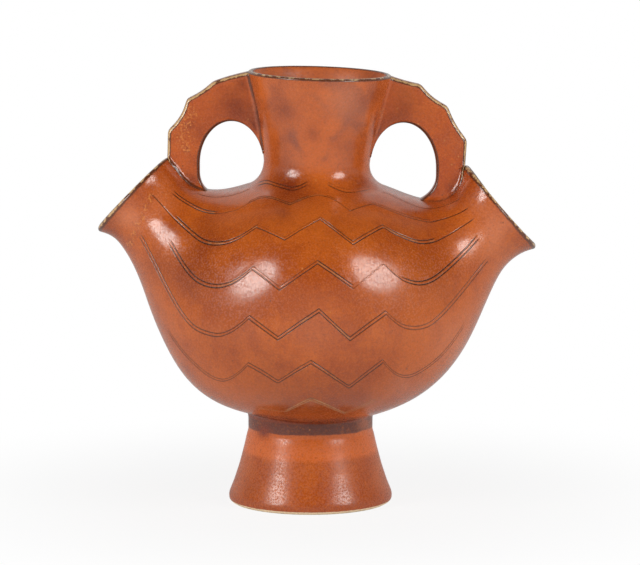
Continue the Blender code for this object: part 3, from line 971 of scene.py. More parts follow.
    def whole(self) -> BMesh:
        """The outer and the inner sheet in one mesh, joined at the lips and cut at the belly seam."""
        outer, inner = self.outer_sheet(), self.inner_sheet()
        self._open_neck(outer)
        self._open_neck(inner)
        spare = bpy.data.meshes.new("inside")
        inner.to_mesh(spare)
        inner.free()
        outer.from_mesh(spare)
        bpy.data.meshes.remove(spare)
        seam = (0.0, 0.0, self.skin.seam_height())
        bmesh.ops.bisect_plane(outer, geom=all_of(outer), dist=WELD, plane_co=seam, plane_no=UP)
        loops = border_loops(outer)
        for side in (-1.0, 1.0):
            pair = [loop for loop in loops if middle_of(loop).x * side > 0.5 * self.skin.half_depth]
            bmesh.ops.bridge_loops(outer, edges=[edge for loop in pair for edge in loop])
        return outer

    def part(self, whole: BMesh, belongs: Callable[[float, float], bool]) -> BMesh:
        """One of the potter's pieces with its joint faces closed.

        Args:
            whole: The mesh of all four.
            belongs: From a face's fan angle and height to whether it is in the piece.

        Returns:
            The piece's own mesh.
        """
        mesh = whole.copy()
        angle_layer = mesh.verts.layers.float[Layer.ANGLE.value]
        doomed = []
        for face in mesh.faces:
            angle = sum(corner[angle_layer] for corner in face.verts) / len(face.verts)
            if not belongs(angle, face.calc_center_median().z):
                doomed.append(face)
        bmesh.ops.delete(mesh, geom=doomed, context="FACES")
        loops = border_loops(mesh)
        while len(loops) > 1:
            loop = loops.pop(0)
            middle = middle_of(loop)
            nearest = min(loops, key=lambda other: (middle_of(other) - middle).length)
            loops.remove(nearest)
            bmesh.ops.bridge_loops(mesh, edges=loop + nearest)
        return mesh

    def build(self, finish: Material) -> None:
        """Make the four pieces."""
        whole = self.whole()
        left, right = self.skin.throats
        seam = self.skin.seam_height()
        tests: dict[str, Callable[[float, float], bool]] = {
            "left_mouth": lambda angle, height: angle < left,
            "right_mouth": lambda angle, height: angle > right,
            "lower_bowl": lambda angle, height: left < angle < right and height < seam,
            "upper_shell": lambda angle, height: left < angle < right and height > seam,
        }
        for node, belongs in tests.items():
            finished(node, self.part(whole, belongs), finish)
        whole.free()


# The shares of rings that aren't on a fillet, and of the ring beyond it just under the skin.
OFF = -1.0
DIPPED = 2.0


class Ring(NamedTuple):
    """One ring of a turned piece.

    Attributes:
        radius: Its radius.
        height: Its height.
        share: Its share of the way out over the fillet, DIPPED for the ring just under the skin, or OFF.
        wear: Its edge wear.
    """

    radius: float
    height: float
    share: float = OFF
    wear: float = 0.0


def fillet_rings(radius: float, reach: float, height: float, drop: float, steps: int) -> list[Ring]:
    """The rings of a fillet from the outside in; the skin gives them their places later.

    Args:
        radius: The radius of the wall.
        reach: How far out the fillet runs.
        height: The height of its inner end.
        drop: How far its outer end is below that.
        steps: How many rings lie on it.

    Returns:
        The ring under the skin and then those on the fillet.
    """
    shares = [step / steps for step in range(steps, 0, -1)]
    beyond = Ring(radius + reach + MILLIMETRE, height - drop, DIPPED)
    return [beyond] + [Ring(radius + reach * share, height - drop * share, share) for share in shares]


def turned(rings: Sequence[Ring], sides: int) -> tuple[BMesh, Layers]:
    """Rings joined into a closed shape round the Z axis.

    Args:
        rings: The rings, once round the profile.
        sides: How many sides.

    Returns:
        The mesh and its layers, with those of the ring and the wear filled.
    """
    mesh = bmesh.new()
    layers = add_layers(mesh)
    corners = []
    for ring in rings:
        corner = mesh.verts.new((ring.radius, 0.0, ring.height))
        corner[layers[Layer.RING]] = ring.share
        corner[layers[Layer.EDGE]] = ring.wear
        corner[layers[Layer.COMB_DISTANCE]] = COMB_FAR
        corners.append(corner)
    for corner, following in zip(corners, corners[1:] + corners[:1]):
        mesh.edges.new((corner, following))
    bmesh.ops.spin(
        mesh, geom=mesh.verts[:] + mesh.edges[:], cent=(0.0, 0.0, 0.0), axis=UP,
        dvec=(0.0, 0.0, 0.0), angle=FULL_TURN, steps=sides, use_merge=True, use_duplicate=False,
    )
    bmesh.ops.remove_doubles(mesh, verts=mesh.verts, dist=WELD)
    bmesh.ops.recalc_face_normals(mesh, faces=mesh.faces)
    return mesh, layers


class Fillet:
    """A fillet in one plan direction, from an upright wall onto the skin: a cubic with given ends."""

    fullness: float = 1.45
    lift: float = 0.00002
    dip_depth: float = 0.0002

    def __init__(
        self, skin: Skin, middle: Vector, direction: Vector, reach: float, overrun: float, turn: float,
        start: Vector, start_way: Vector,
    ) -> None:
        """Find where the fillet lands.

        Args:
            skin: The skin that it runs out onto.
            middle: The plan position of the piece's axis.
            direction: The unit direction in plan.
            reach: How far from the middle it lands.
            overrun: How far beyond that it has dipped under the skin.
            turn: 0 for the top of the skin, or half a turn for its underside.
            start: The place on the wall.
            start_way: The direction in which it leaves the wall.
        """
        landing, self.normal = skin.under(middle, direction, reach, turn)
        beyond, beyond_normal = skin.under(middle, direction, reach + overrun, turn)
        self.dip = beyond - beyond_normal * self.dip_depth
        self.start, self.end = start, landing + self.normal * self.lift
        outward = level_with(direction, self.normal)
        chord = self.end - start
        self.start_pull = start_way * abs(chord.dot(start_way)) * self.fullness
        self.end_pull = outward * abs(chord.dot(outward)) * self.fullness

    def at(self, share: float) -> Vector:
        """The place at a share of the way, from 0 at the wall to 1 on the skin, or DIPPED."""
        if share == DIPPED:
            return self.dip
        square, cube = share * share, share * share * share
        return (
            self.start * (2.0 * cube - 3.0 * square + 1.0) + self.start_pull * (cube - 2.0 * square + share)
            + self.end * (3.0 * square - 2.0 * cube) + self.end_pull * (cube - square)
        )


def set_on_skin(
    mesh: BMesh, layers: Layers, sides: int, fillet: Callable[[Vector], Fillet],
    move: Callable[[BMVert], None],
) -> None:
    """Put the corners of a turned piece in their places and keep its normals.

    Args:
        mesh: The piece, upright about the origin.
        layers: Its layers.
        sides: How many sides it has.
        fillet: From a unit direction in plan to the fillet there.
        move: What moves a corner that isn't on the fillet.
    """
    fillets: dict[int, Fillet] = {}
    landed: list[tuple[BMVert, Vector]] = []
    for corner in mesh.verts:
        share = corner[layers[Layer.RING]]
        if share == OFF:
            move(corner)
            continue
        side = round(math.atan2(corner.co.y, corner.co.x) / FULL_TURN * sides)
        if side not in fillets:
            bearing = FULL_TURN * side / sides
            fillets[side] = fillet(Vector((math.cos(bearing), math.sin(bearing), 0.0)))
        corner.co = fillets[side].at(share)
        if share >= 1.0:
            landed.append((corner, fillets[side].normal))
    keep_normals(mesh, layers)
    for corner, normal in landed:
        corner[layers[Layer.NORMAL]] = normal


@dataclass
class Neck:
    """The flared neck with its rim, its lean, and the fillet that runs out onto the shoulder.

    The flare's rows are shares of the rise and of the way from the narrowest radius to the rim's.
    """

    skin: Skin
    camera: PhotoCamera
    above_belly: float = 0.0110
    rise: float = 0.0580
    narrowest: float = 0.0341
    rim: float = 0.0464
    wall: float = 0.0044
    lean: float = 1.9
    skirt_reach: float = 0.0125
    skirt_overrun: float = 0.0016
    skirt_steps: int = 26
    wall_steps: int = 30
    lip_steps: int = 8
    bore_steps: int = 20
    sides: int = 160
    below_wall: float = 0.0006
    foot_step: tuple[float, float] = (0.0045, 0.0008)
    rim_wear: float = 1.25
    rim_wear_power: float = 4.0
    bare_inside: float = 0.8
    pixel_millimetres: float = 0.76
    stroke_fade: float = 2.0
    flare: tuple[tuple[float, float], ...] = (
        (0.00, 0.00), (0.16, 0.09), (0.32, 0.23), (0.47, 0.365), (0.65, 0.55), (0.78, 0.71), (0.91, 0.88),
        (1.00, 1.00),
    )

    def __post_init__(self) -> None:
        """Fit the flare and the strokes, and find the neck's origin."""
        self.flare_table = SmoothTable(self.flare)
        self.strokes = [(stroke, SmoothTable(stroke.path)) for stroke in NECK_STROKES]
        self.origin = Vector((0.0, 0.0, self.skin.top_place(0.0).y + self.above_belly))
        self.turn_over = Matrix.Rotation(math.radians(self.lean), 3, "Y")

    def radius(self, height: float) -> float:
        """The outer radius at a height above the narrowest place."""
        share = clamped(height / self.rise, 0.0, 1.0)
        return self.narrowest + (self.rim - self.narrowest) * self.flare_table.at(share)

    def shift(self, height: float) -> float:
        """How far the lean moves the axis towards +X at a height."""
        return math.tan(math.radians(self.lean)) * height

    def set_in_place(self, place: Vector) -> Vector:
        """A place of the upright neck, leaned and moved to where the neck stands."""
        return self.origin + self.turn_over @ place

    def rings(self) -> list[Ring]:
        """The rings, from under the skin up the outside, over the rim and down the bore."""
        rings = fillet_rings(self.narrowest, self.skirt_reach, 0.0, self.above_belly, self.skirt_steps)
        half = 0.5 * self.wall
        shoulder, middle = self.rise - half, self.rim - half
        rings += [Ring(self.radius(height), height) for height in spread(0.0, shoulder, self.wall_steps)]
        for step in range(1, self.lip_steps):
            bend = math.pi * step / self.lip_steps
            sine = math.sin(bend)
            worn = min(1.0, self.rim_wear * sine) if bend <= QUARTER_TURN else sine**self.rim_wear_power
            rings.append(Ring(middle + half * math.cos(bend), shoulder + half * sine, OFF, worn))
        floor = -self.above_belly - self.skin.wall - self.below_wall
        heights = spread(shoulder, floor, self.bore_steps)
        rings += [Ring(self.radius(height) - self.wall, height) for height in heights]
        return rings + [Ring(self.narrowest + self.foot_step[0], floor - self.foot_step[1])]

    def fillet(self, direction: Vector) -> Fillet:
        """The fillet in a plan direction, before the lean."""
        down = (self.turn_over @ -UP).normalized()
        return Fillet(
            self.skin, Vector((0.0, 0.0, 0.0)), direction, self.narrowest + self.skirt_reach,
            self.skirt_overrun, 0.0, self.set_in_place(direction * self.narrowest), down,
        )

    def comb_at(self, place: Vector) -> tuple[float, float]:
        """The comb's distance in millimetres and strength at a place of the fillet."""
        pixel = self.camera.pixel(Vector((place.x, -abs(place.y), place.z)))
        best = (COMB_FAR, 0.0)
        for stroke, path in self.strokes:
            inside = min(pixel.x - path.keys[0], path.keys[-1] - pixel.x)
            offset = (pixel.y - path.at(pixel.x)) * self.pixel_millimetres
            strength = eased(inside, -self.stroke_fade, self.stroke_fade)
            strength *= stroke.upper if offset < 0.0 else stroke.lower
            if strength > best[1]:
                best = (min(abs(offset), COMB_FAR), strength)
        return best

    def build(self, finish: Material) -> None:
        """Make the neck."""
        mesh, layers = turned(self.rings(), self.sides)

        def move(corner: BMVert) -> None:
            """Set a corner of the wall in place, and leave the inside unglazed."""
            inside = self.radius(corner.co.z) - self.bare_inside * self.wall
            if math.hypot(corner.co.x, corner.co.y) < inside:
                corner[layers[Layer.BARE]] = 1.0
            corner.co = self.set_in_place(corner.co)

        set_on_skin(mesh, layers, self.sides, self.fillet, move)
        for corner in mesh.verts:
            if corner[layers[Layer.RING]] not in (OFF, DIPPED):
                distance, strength = self.comb_at(corner.co)
                corner[layers[Layer.COMB_DISTANCE]] = distance
                corner[layers[Layer.COMB_STRENGTH]] = strength
        finished("neck", mesh, finish)


@dataclass
class Foot:
    """The turned foot: collar under the bowl, flare, rounded skirt edge and bare standing ring.

    The flare's rows are shares of the way down and of the way from the collar's radius to the foot's.
    """

    skin: Skin
    collar_height: float = 0.0465
    collar_radius: float = 0.0403
    radius: float = 0.0530
    contact_width: float = 0.0034
    axis: float = -0.0041
    wall: float = 0.0056
    joint_height: float = 0.0538
    skirt_reach: float = 0.0030
    skirt_overrun: float = 0.001
    skirt_steps: int = 8
    collar_steps: int = 9
    flare_steps: int = 64
    hollow_steps: int = 26
    hollow_start: float = 0.0014
    hollow_set_in: float = 0.0006
    above_joint: float = 0.002
    sides: int = 160
    flare: tuple[tuple[float, float], ...] = (
        (0.000, 0.015), (0.055, 0.075), (0.145, 0.150), (0.255, 0.245), (0.370, 0.355), (0.485, 0.470),
        (0.600, 0.605), (0.710, 0.740), (0.820, 0.900), (0.890, 0.985), (0.945, 0.985), (0.982, 0.910),
        (1.000, 0.800),
    )

    def rings(self) -> list[Ring]:
        """The rings, from under the skin down the outside and up the hollow."""
        table = SmoothTable(self.flare)
        extra = self.radius - self.collar_radius
        rings = fillet_rings(self.collar_radius, self.skirt_reach, self.joint_height, 0.0, self.skirt_steps)
        heights = spread(self.joint_height, self.collar_height, self.collar_steps)[:-1]
        rings += [Ring(self.collar_radius, height) for height in heights]
        rings += [
            Ring(self.collar_radius + table.at(depth) * extra, self.collar_height * (1.0 - depth))
            for depth in spread(0.0, 1.0, self.flare_steps)
        ]
        hollow = rings[-1].radius - self.contact_width
        rings.append(Ring(hollow, 0.0))
        for height in spread(self.hollow_start, self.joint_height + self.above_joint, self.hollow_steps):
            depth = 1.0 - height / self.collar_height
            outer = self.collar_radius + (table.at(depth) if depth > 0.0 else 0.0) * extra
            rings.append(Ring(min(outer - self.wall, hollow - self.hollow_set_in), height))
        return rings

    def build(self, finish: Material) -> None:
        """Make the foot."""
        mesh, layers = turned(self.rings(), self.sides)
        middle = Vector((self.axis, 0.0, 0.0))

        def move(corner: BMVert) -> None:
            """Move a corner to the foot's own axis."""
            corner.co += middle

        def fillet(direction: Vector) -> Fillet:
            """The fillet in a plan direction."""
            start = middle + direction * self.collar_radius + UP * self.joint_height
            reach = self.collar_radius + self.skirt_reach
            return Fillet(self.skin, middle, direction, reach, self.skirt_overrun, math.pi, start, UP)

        set_on_skin(mesh, layers, self.sides, fillet, move)
        finished("foot", mesh, finish)


class Side(Enum):
    """Which side of the vase a handle is on."""

    LEFT = -1
    RIGHT = 1


class Spot(NamedTuple):
    """A place on a section of a slab: how far it is from the outer edge, its Y and its edge wear."""

    reach: float
    depth: float
    worn: float


@dataclass
class Handle:
    """A flat slab handle from the rim to a side mouth, scalloped outside, with a finger hole.

    Attributes:
        skin: The skin of the belly and mouths.
        neck: The neck that it leans on.
        side: Which side it is on.
        post_width: The width of its upright part.
        hole_top: The top of the finger hole above the neck's origin.
        arch_rise: The height of the arch over the hole.
        tips: For each scallop's lower tip its share of the reach and of the rise, and the scallop's bow.
    """

    skin: Skin
    neck: Neck
    side: Side
    post_width: float
    hole_top: float
    arch_rise: float
    tips: tuple[tuple[float, float, float], ...]
    thickness: float = 0.0100
    rounding: float = 0.0024
    rounding_steps: int = 5
    most_rounding: float = 0.2
    crown: float = 0.0004
    face_insets: tuple[float, float, float] = (0.0007, 0.0018, 0.0045)
    face_steps: int = 6
    narrow: float = 0.0165
    edge_middle_wear: float = 0.1
    round_end_wear: float = 0.15
    round_wear_power: float = 0.7
    inner_wear: float = 0.6
    seat_beyond: float = 0.0
    rim_set_down: float = 0.25
    root_flare: float = 0.0050
    flare_height: float = 0.0115
    flare_bend: float = 60.0
    flare_steps: int = 16
    root_depth: float = 0.0034
    root_share: float = 0.50
    root_ease: float = 0.3
    seat_pair: float = 0.80
    seat_steps: int = 20
    neck_bead: float = 0.0024
    seat_bead: float = 0.0030
    # Darkens the crease where the slab meets the neck and the seat, through the edge value.
    crease_darkening: float = 0.50
    crease_range: Range = (0.35, 0.95)
    arch_sweep: float = 166.0
    arch_steps: int = 40
    bow_steps: int = 14
    tip_rounds: int = 2
    finer: int = 4
    fine_start: int = 16
    fine_end: int = 28
    into_neck: float = 0.45
    ridge_steps: int = 180

    def __post_init__(self) -> None:
        """Find the ridge of the belly and mouth under the handle, and its seat."""
        self.which = self.side.value
        lip_angle = self.skin.first_angle if self.side is Side.LEFT else self.skin.last_angle
        self.ridge = [self.skin.top_place(angle) for angle in spread(0.0, lip_angle, self.ridge_steps)]
        self.seat = self.ridge[-1] + Vector((self.seat_beyond, 0.0))
        self.hole_reach = self.seat.x - self.post_width

    def outer_edge(self) -> list[Vector]:
        """(X, Z) places down the scalloped edge from the rim to the seat, X taken as positive."""
        top = self.neck.set_in_place(Vector((self.which * self.neck.rim, 0.0, self.neck.rise)))
        rim = Vector((abs(top.x), top.z - self.rim_set_down * self.neck.wall))
        places = [rim]
        for reach_share, rise_share, bow in self.tips + ((1.0, 0.0, 0.0),):
            start = places[-1]
            end = Vector((reach_share * self.seat.x, self.seat.y + rise_share * (rim.y - self.seat.y)))
            chord = end - start
            inwards = Vector((chord.y, -chord.x)).normalized()
            for step in range(1, self.bow_steps + 1):
                along = step / self.bow_steps
                sag = bow * chord.length * 4.0 * along * (1.0 - along)
                places.append(start + chord * along + inwards * sag)
        for _ in range(self.tip_rounds):
            places[1:-1] = [
                0.5 * here + 0.25 * (before + after)
                for before, here, after in zip(places, places[1:], places[2:])
            ]
        return places

    def inner_edge(self) -> list[Vector]:
        """(X, Z) places along the finger hole from the neck over the arch to the hole's outer corner."""
        arch_reach = 0.5 * (self.hole_reach - self.neck.narrowest)
        springing = self.neck.origin.z + self.hole_top - self.arch_rise
        middle = Vector((0.5 * (self.hole_reach + self.neck.narrowest), springing))
        places = []
        for step in range(self.arch_steps + 1):
            bend = math.radians(self.arch_sweep) * (1.0 - step / self.arch_steps)
            places.append(middle + Vector((arch_reach * math.cos(bend), self.arch_rise * math.sin(bend))))
        corner = self.hole_reach - self.root_flare
        floor = self.skin_height(corner)
        bend = math.radians(self.flare_bend)
        for step in range(self.flare_steps + 1):
            turn = bend * step / self.flare_steps
            places.append(Vector((
                self.hole_reach - self.root_flare * (1.0 - math.cos(turn)) / (1.0 - math.cos(bend)),
                floor + self.flare_height * (1.0 - math.sin(turn) / math.sin(bend)),
            )))
        return places + [Vector((corner, floor - self.root_depth))]

    def root_edge(self) -> list[Vector]:
        """(X, Z) places from the seat on, inside the wall and under the top of the mouth or belly."""
        places = []
        run = -self.root_share * (self.post_width + self.root_flare)
        for step in range(1, self.seat_steps + 1):
            share = step / self.seat_steps
            reach = self.seat.x + run * share
            inwards = Vector((self.skin_slope(reach), -1.0)).normalized()
            depth = self.root_depth * eased(share, 0.0, self.root_ease)
            places.append(Vector((reach, self.skin_height(reach))) + inwards * depth)
        return places

    def skin_height(self, reach: float) -> float:
        """The height of the top of the belly and mouth at an X taken as positive."""
        return float(np.interp(reach, [place.x for place in self.ridge], [place.y for place in self.ridge]))

    def skin_slope(self, reach: float) -> float:
        """The rise of the top of the belly or mouth per metre outwards."""
        return (self.skin_height(reach) - self.skin_height(reach - MILLIMETRE)) / MILLIMETRE

    def swell(self, place: Vector) -> tuple[float, float]:
        """The luting bead beside the neck and the seat.

        Args:
            place: (X, Z) of a place of the slab.

        Returns:
            How much the slab thickens there on each side, and the edge value that darkens the crease along the
            joint.
        """
        height = place.y - self.neck.origin.z
        beside = place.x - self.neck.radius(height) - self.which * self.neck.shift(height)
        slope = self.skin_slope(place.x)
        above = (place.y - self.skin_height(place.x)) / math.sqrt(1.0 + slope * slope)
        thicker = crease = 0.0
        for away, bead in ((beside, self.neck_bead), (above, self.seat_bead)):
            share = clamped(1.0 - away / bead, 0.0, 1.0)
            thicker = max(thicker, bead * (1.0 - math.sqrt(1.0 - share * share)))
            crease = max(crease, self.crease_darkening * eased(share, *self.crease_range))
        return thicker, crease

    @staticmethod
    def along(places: Sequence[Vector], share: float) -> Vector:
        """The place at a share of a line's length."""
        steps = [(after - before).length for before, after in zip(places, places[1:])]
        target = share * sum(steps)
        for before, after, step in zip(places, places[1:], steps):
            if target <= step:
                return before.lerp(after, target / step)
            target -= step
        return places[-1].copy()

    def corner(self, edge: float, inwards: float, radius: float, wear: float) -> list[Spot]:
        """A rounded corner of the front face, from the face to the edge.

        Args:
            edge: Where the edge is.
            inwards: 1 where the slab lies beyond the edge, and -1 where it lies before it.
            radius: The corner's radius.
            wear: The most edge wear.

        Returns:
            Its spots.
        """
        front = radius - 0.5 * self.thickness
        spots = []
        for step in range(self.rounding_steps + 1):
            bend = QUARTER_TURN * step / self.rounding_steps
            worn = self.round_end_wear
            if 0 < step < self.rounding_steps:
                worn = math.sin(2.0 * bend) ** self.round_wear_power
            reach = edge + inwards * radius * (1.0 - math.sin(bend))
            spots.append(Spot(reach, front - radius * math.cos(bend), wear * worn))
        return spots

    def section(self, outer: Vector, inner: Vector) -> list[tuple[Vector, float, float]]:
        """One rounded section of the slab between its outer and inner edge.

        Args:
            outer: (X, Z) of the outer edge.
            inner: (X, Z) of the inner edge.

        Returns:
            Places in (X, Z) with their Y and their edge wear, once round.
        """
        width = (inner - outer).length
        across = (inner - outer) / width
        radius = min(self.rounding, self.most_rounding * width)
        near, middle, far = (radius + inset for inset in self.face_insets)
        face = [near, middle, *spread(far, width - far, self.face_steps), width - middle, width - near]
        if width < self.narrow:
            face = spread(radius, width - radius, len(face) + 2)[1:-1]
        flat = self.crown - 0.5 * self.thickness
        front = [
            Spot(0.0, 0.0, self.edge_middle_wear),
            *self.corner(0.0, 1.0, radius, 1.0)[::-1],
            *(Spot(reach, flat - self.crown * math.sin(math.pi * reach / width), 0.0) for reach in face),
            *self.corner(width, -1.0, radius, self.inner_wear),
            Spot(width, 0.0, self.edge_middle_wear),
        ]
        back = [Spot(spot.reach, -spot.depth, spot.worn) for spot in front[-2:0:-1]]
        return [(outer + across * spot.reach, spot.depth, spot.worn) for spot in front + back]

    def pairs(self) -> list[tuple[Vector, Vector]]:
        """Matching (X, Z) places of the outer and the inner edge, closer together at both ends."""
        outer, inner = self.outer_edge(), self.inner_edge()
        pairs = []
        count = self.finer * (len(outer) - 1)
        for step in range(count + 1):
            if step % self.finer == 0 or step < self.fine_start or step > count - self.fine_end:
                before = min(step // self.finer, len(outer) - 2)
                place = outer[before].lerp(outer[before + 1], step / self.finer - before)
                pairs.append((place, self.along(inner, self.seat_pair * step / count)))
        for step, place in enumerate(self.root_edge(), 1):
            share = self.seat_pair + (1.0 - self.seat_pair) * step / self.seat_steps
            pairs.append((place, self.along(inner, share)))
        return pairs

    def build(self, finish: Material) -> None:
        """Make the handle."""
        sections = [self.section(*pair) for pair in self.pairs()]
        sections.insert(0, [(self._into_neck(place), depth, worn) for place, depth, worn in sections[0]])
        size = len(sections[0])
        mesh, layers, places = grid_mesh(len(sections), size + 1)
        for corner, column, row in places:
            place, depth, worn = sections[column][row % size]
            thicker, crease = self.swell(place)
            deeper = depth * (1.0 + thicker / (0.5 * self.thickness))
            corner.co = Vector((self.which * place.x, deeper, place.y))
            corner[layers[Layer.EDGE]] = max(worn, crease)
            corner[layers[Layer.COMB_DISTANCE]] = COMB_FAR
        bmesh.ops.remove_doubles(mesh, verts=mesh.verts, dist=WELD)
        bmesh.ops.holes_fill(mesh, edges=mesh.edges)
        bmesh.ops.recalc_face_normals(mesh, faces=mesh.faces)
        keep_normals(mesh, layers)
        finished(self.side.name.lower() + "_handle", mesh, finish)

    def _into_neck(self, place: Vector) -> Vector:
        """A place of the first section, moved along X into the neck's wall at its height."""
        height = place.y - self.neck.origin.z
        radius = self.neck.radius(height) - self.into_neck * self.neck.wall
        return Vector((radius + self.which * self.neck.shift(height), place.y))


def arithmetic(operation: str, swapped: bool = False) -> Callable[["Signal", "Signal | float"], "Signal"]:
    """An arithmetic method for signals.

    Args:
        operation: The Math node's operation.
        swapped: Whether the other value comes first.

    Returns:
        The method, which adds the node.
    """

    def method(self: "Signal", other: "Signal | float") -> "Signal":
        """Add the Math node."""
        first, second = (other, self) if swapped else (self, other)
        return self.bench.add("ShaderNodeMath", {"operation": operation}, {0: first, 1: second})

    return method


class Signal:
    """A value on a shader socket that takes part in Python arithmetic."""

    __add__ = arithmetic("ADD")
    __radd__ = arithmetic("ADD", True)
    __sub__ = arithmetic("SUBTRACT")
    __rsub__ = arithmetic("SUBTRACT", True)
    __mul__ = arithmetic("MULTIPLY")
    __rmul__ = arithmetic("MULTIPLY", True)
    larger = arithmetic("MAXIMUM")

    def __init__(self, bench: "Bench", socket: bpy.types.NodeSocket) -> None:
        """Wrap a socket of a bench's node tree."""
        self.bench = bench
        self.socket = socket

    def __abs__(self) -> "Signal":
        """This without its sign."""
        return self.bench.add("ShaderNodeMath", {"operation": "ABSOLUTE"}, {0: self})

    def step(self, low: float, high: float) -> "Signal":
        """A smooth step from 0 where this is low to 1 where it is high."""
        return self.bench.add(
            "ShaderNodeMapRange", {"interpolation_type": "SMOOTHSTEP", "clamp": True},
            {0: self, 1: low, 2: high, 3: 0.0, 4: 1.0},
        )


class Noise(NamedTuple):
    """Smooth noise: its features per metre, detail, roughness and warp."""

    scale: float
    detail: float = 2.0
    roughness: float = 0.5
    warp: float = 0.0


class Specks(NamedTuple):
    """Sparse round specks.

    Attributes:
        scale: Cells per metre.
        radius: The radius of a speck as a share of a cell.
        chance: The share of cells that have one.
        amount: How strong they are.
    """

    scale: float
    radius: float
    chance: float
    amount: float


class Fray(NamedTuple):
    """How a worn or crawled place frays: how far noise moves its border, its soft step and its strength."""

    noise: float
    low: float
    high: float
    amount: float


class Bench:
    """Adds nodes to one material or world."""

    def __init__(self, tree: bpy.types.NodeTree) -> None:
        """Start on a node tree."""
        self.tree = tree

    def node(self, kind: str, settings: dict | None = None, inputs: dict | None = None) -> bpy.types.Node:
        """Add a node.

        Args:
            kind: The node's type.
            settings: Its own settings, which are set first.
            inputs: A value or a Signal for each socket, by name or index.

        Returns:
            The node.
        """
        node = self.tree.nodes.new(kind)
        for name, value in (settings or {}).items():
            setattr(node, name, value)
        for key, value in (inputs or {}).items():
            socket = node.inputs[key]
            if isinstance(value, Signal):
                self.tree.links.new(value.socket, socket)
            else:
                socket.default_value = (*value, 1.0) if socket.type == "RGBA" else value
        return node

    def add(
        self, kind: str, settings: dict | None = None, inputs: dict | None = None, output: int | str = 0,
    ) -> Signal:
        """Add a node and give the signal of one of its outputs."""
        return Signal(self, self.node(kind, settings, inputs).outputs[output])

    def blend(self, share: Signal | float, first: "Signal | Colour", second: "Signal | Colour") -> Signal:
        """Mix two colours."""
        return self.add("ShaderNodeMix", {"data_type": "RGBA"}, {0: share, 6: first, 7: second}, 2)

    def coordinates(self, output: str) -> Signal:
        """One output of the texture coordinates."""
        return self.add("ShaderNodeTexCoord", None, None, output)

    def axis(self, place: Signal, axis: str) -> Signal:
        """One coordinate of a place."""
        return self.add("ShaderNodeSeparateXYZ", None, {0: place}, axis)

    def ray(self, kind: str) -> Signal:
        """Whether the ray is of a kind."""
        return self.add("ShaderNodeLightPath", None, None, f"Is {kind} Ray")

    def value_of(self, layer: Layer) -> Signal:
        """A value that the mesh carries."""
        return self.add("ShaderNodeAttribute", {"attribute_name": layer.value}, None, "Fac")

    def noise(self, place: Signal, noise: Noise) -> Signal:
        """Noise from 0 to 1."""
        return self.add("ShaderNodeTexNoise", None, {
            "Vector": place, "Scale": noise.scale, "Detail": noise.detail, "Roughness": noise.roughness,
            "Distortion": noise.warp,
        })

    def specks(self, place: Signal, specks: Specks) -> Signal:
        """The strength of specks, and 0 around them; cells draw their sizes from 0.3 to 1 of the radius."""
        cells = self.node("ShaderNodeTexVoronoi", None, {"Vector": place, "Scale": specks.scale})
        draw, size = (
            self.add("ShaderNodeSeparateColor", None, {0: Signal(self, cells.outputs["Color"])}, channel)
            for channel in (0, 1)
        )
        away = Signal(self, cells.outputs["Distance"])
        inside = (size * (0.7 * specks.radius) + 0.3 * specks.radius - away).step(0.0, 0.25 * specks.radius)
        return inside * draw.step(1.0 - specks.chance, 1.0 - specks.chance + 0.001) * specks.amount


BROAD = Noise(13.0, 2.0, 0.55, 0.4)
MIDDLE = Noise(55.0, 3.0, 0.6, 0.3)
SMALL = Noise(240.0, 3.0, 0.6)
GRAIN = Noise(620.0, 2.0, 0.6)
PATCHY = Noise(30.0, 2.0, 0.5, 0.8)
RAGGED = Noise(260.0, 4.0, 0.65)
BLISTERED = Noise(640.0, 3.0, 0.65)
SATIN = Noise(900.0, 2.0, 0.6)
RIPPLED = Noise(90.0, 1.0)
PEELED = Noise(1350.0, 1.0)
UNEVEN = Noise(45.0, 3.0, 0.6)


@dataclass(frozen=True)
class FootZones:
    """The foot's glaze zones, with heights read from the photo's rows at the front of the foot."""

    band_top: float
    band_bottom: float
    tone_step: float
    clay_top: float = 0.0019
    clay_soft: float = 0.0002
    clay_waver: float = 0.0006
    rim_heights: Range = (0.003, 0.010)
    waver: float = 0.0032
    soft: float = 0.0022
    crisp: float = 0.0006
    band_range: Range = (0.50, 0.66)
    band_mottle: float = 0.35
    grit_range: Range = (0.45, 0.75)
    band: Colour = (0.112, 0.032, 0.019)
    above: Colour = (0.25, 0.043, 0.010)
    upper: Colour = (0.69, 0.146, 0.020)
    lower: Colour = (0.52, 0.110, 0.014)
    rim: Colour = (0.40, 0.075, 0.011)
    clay: Colour = (0.95, 0.78, 0.54)
    grit: Colour = (0.76, 0.58, 0.38)


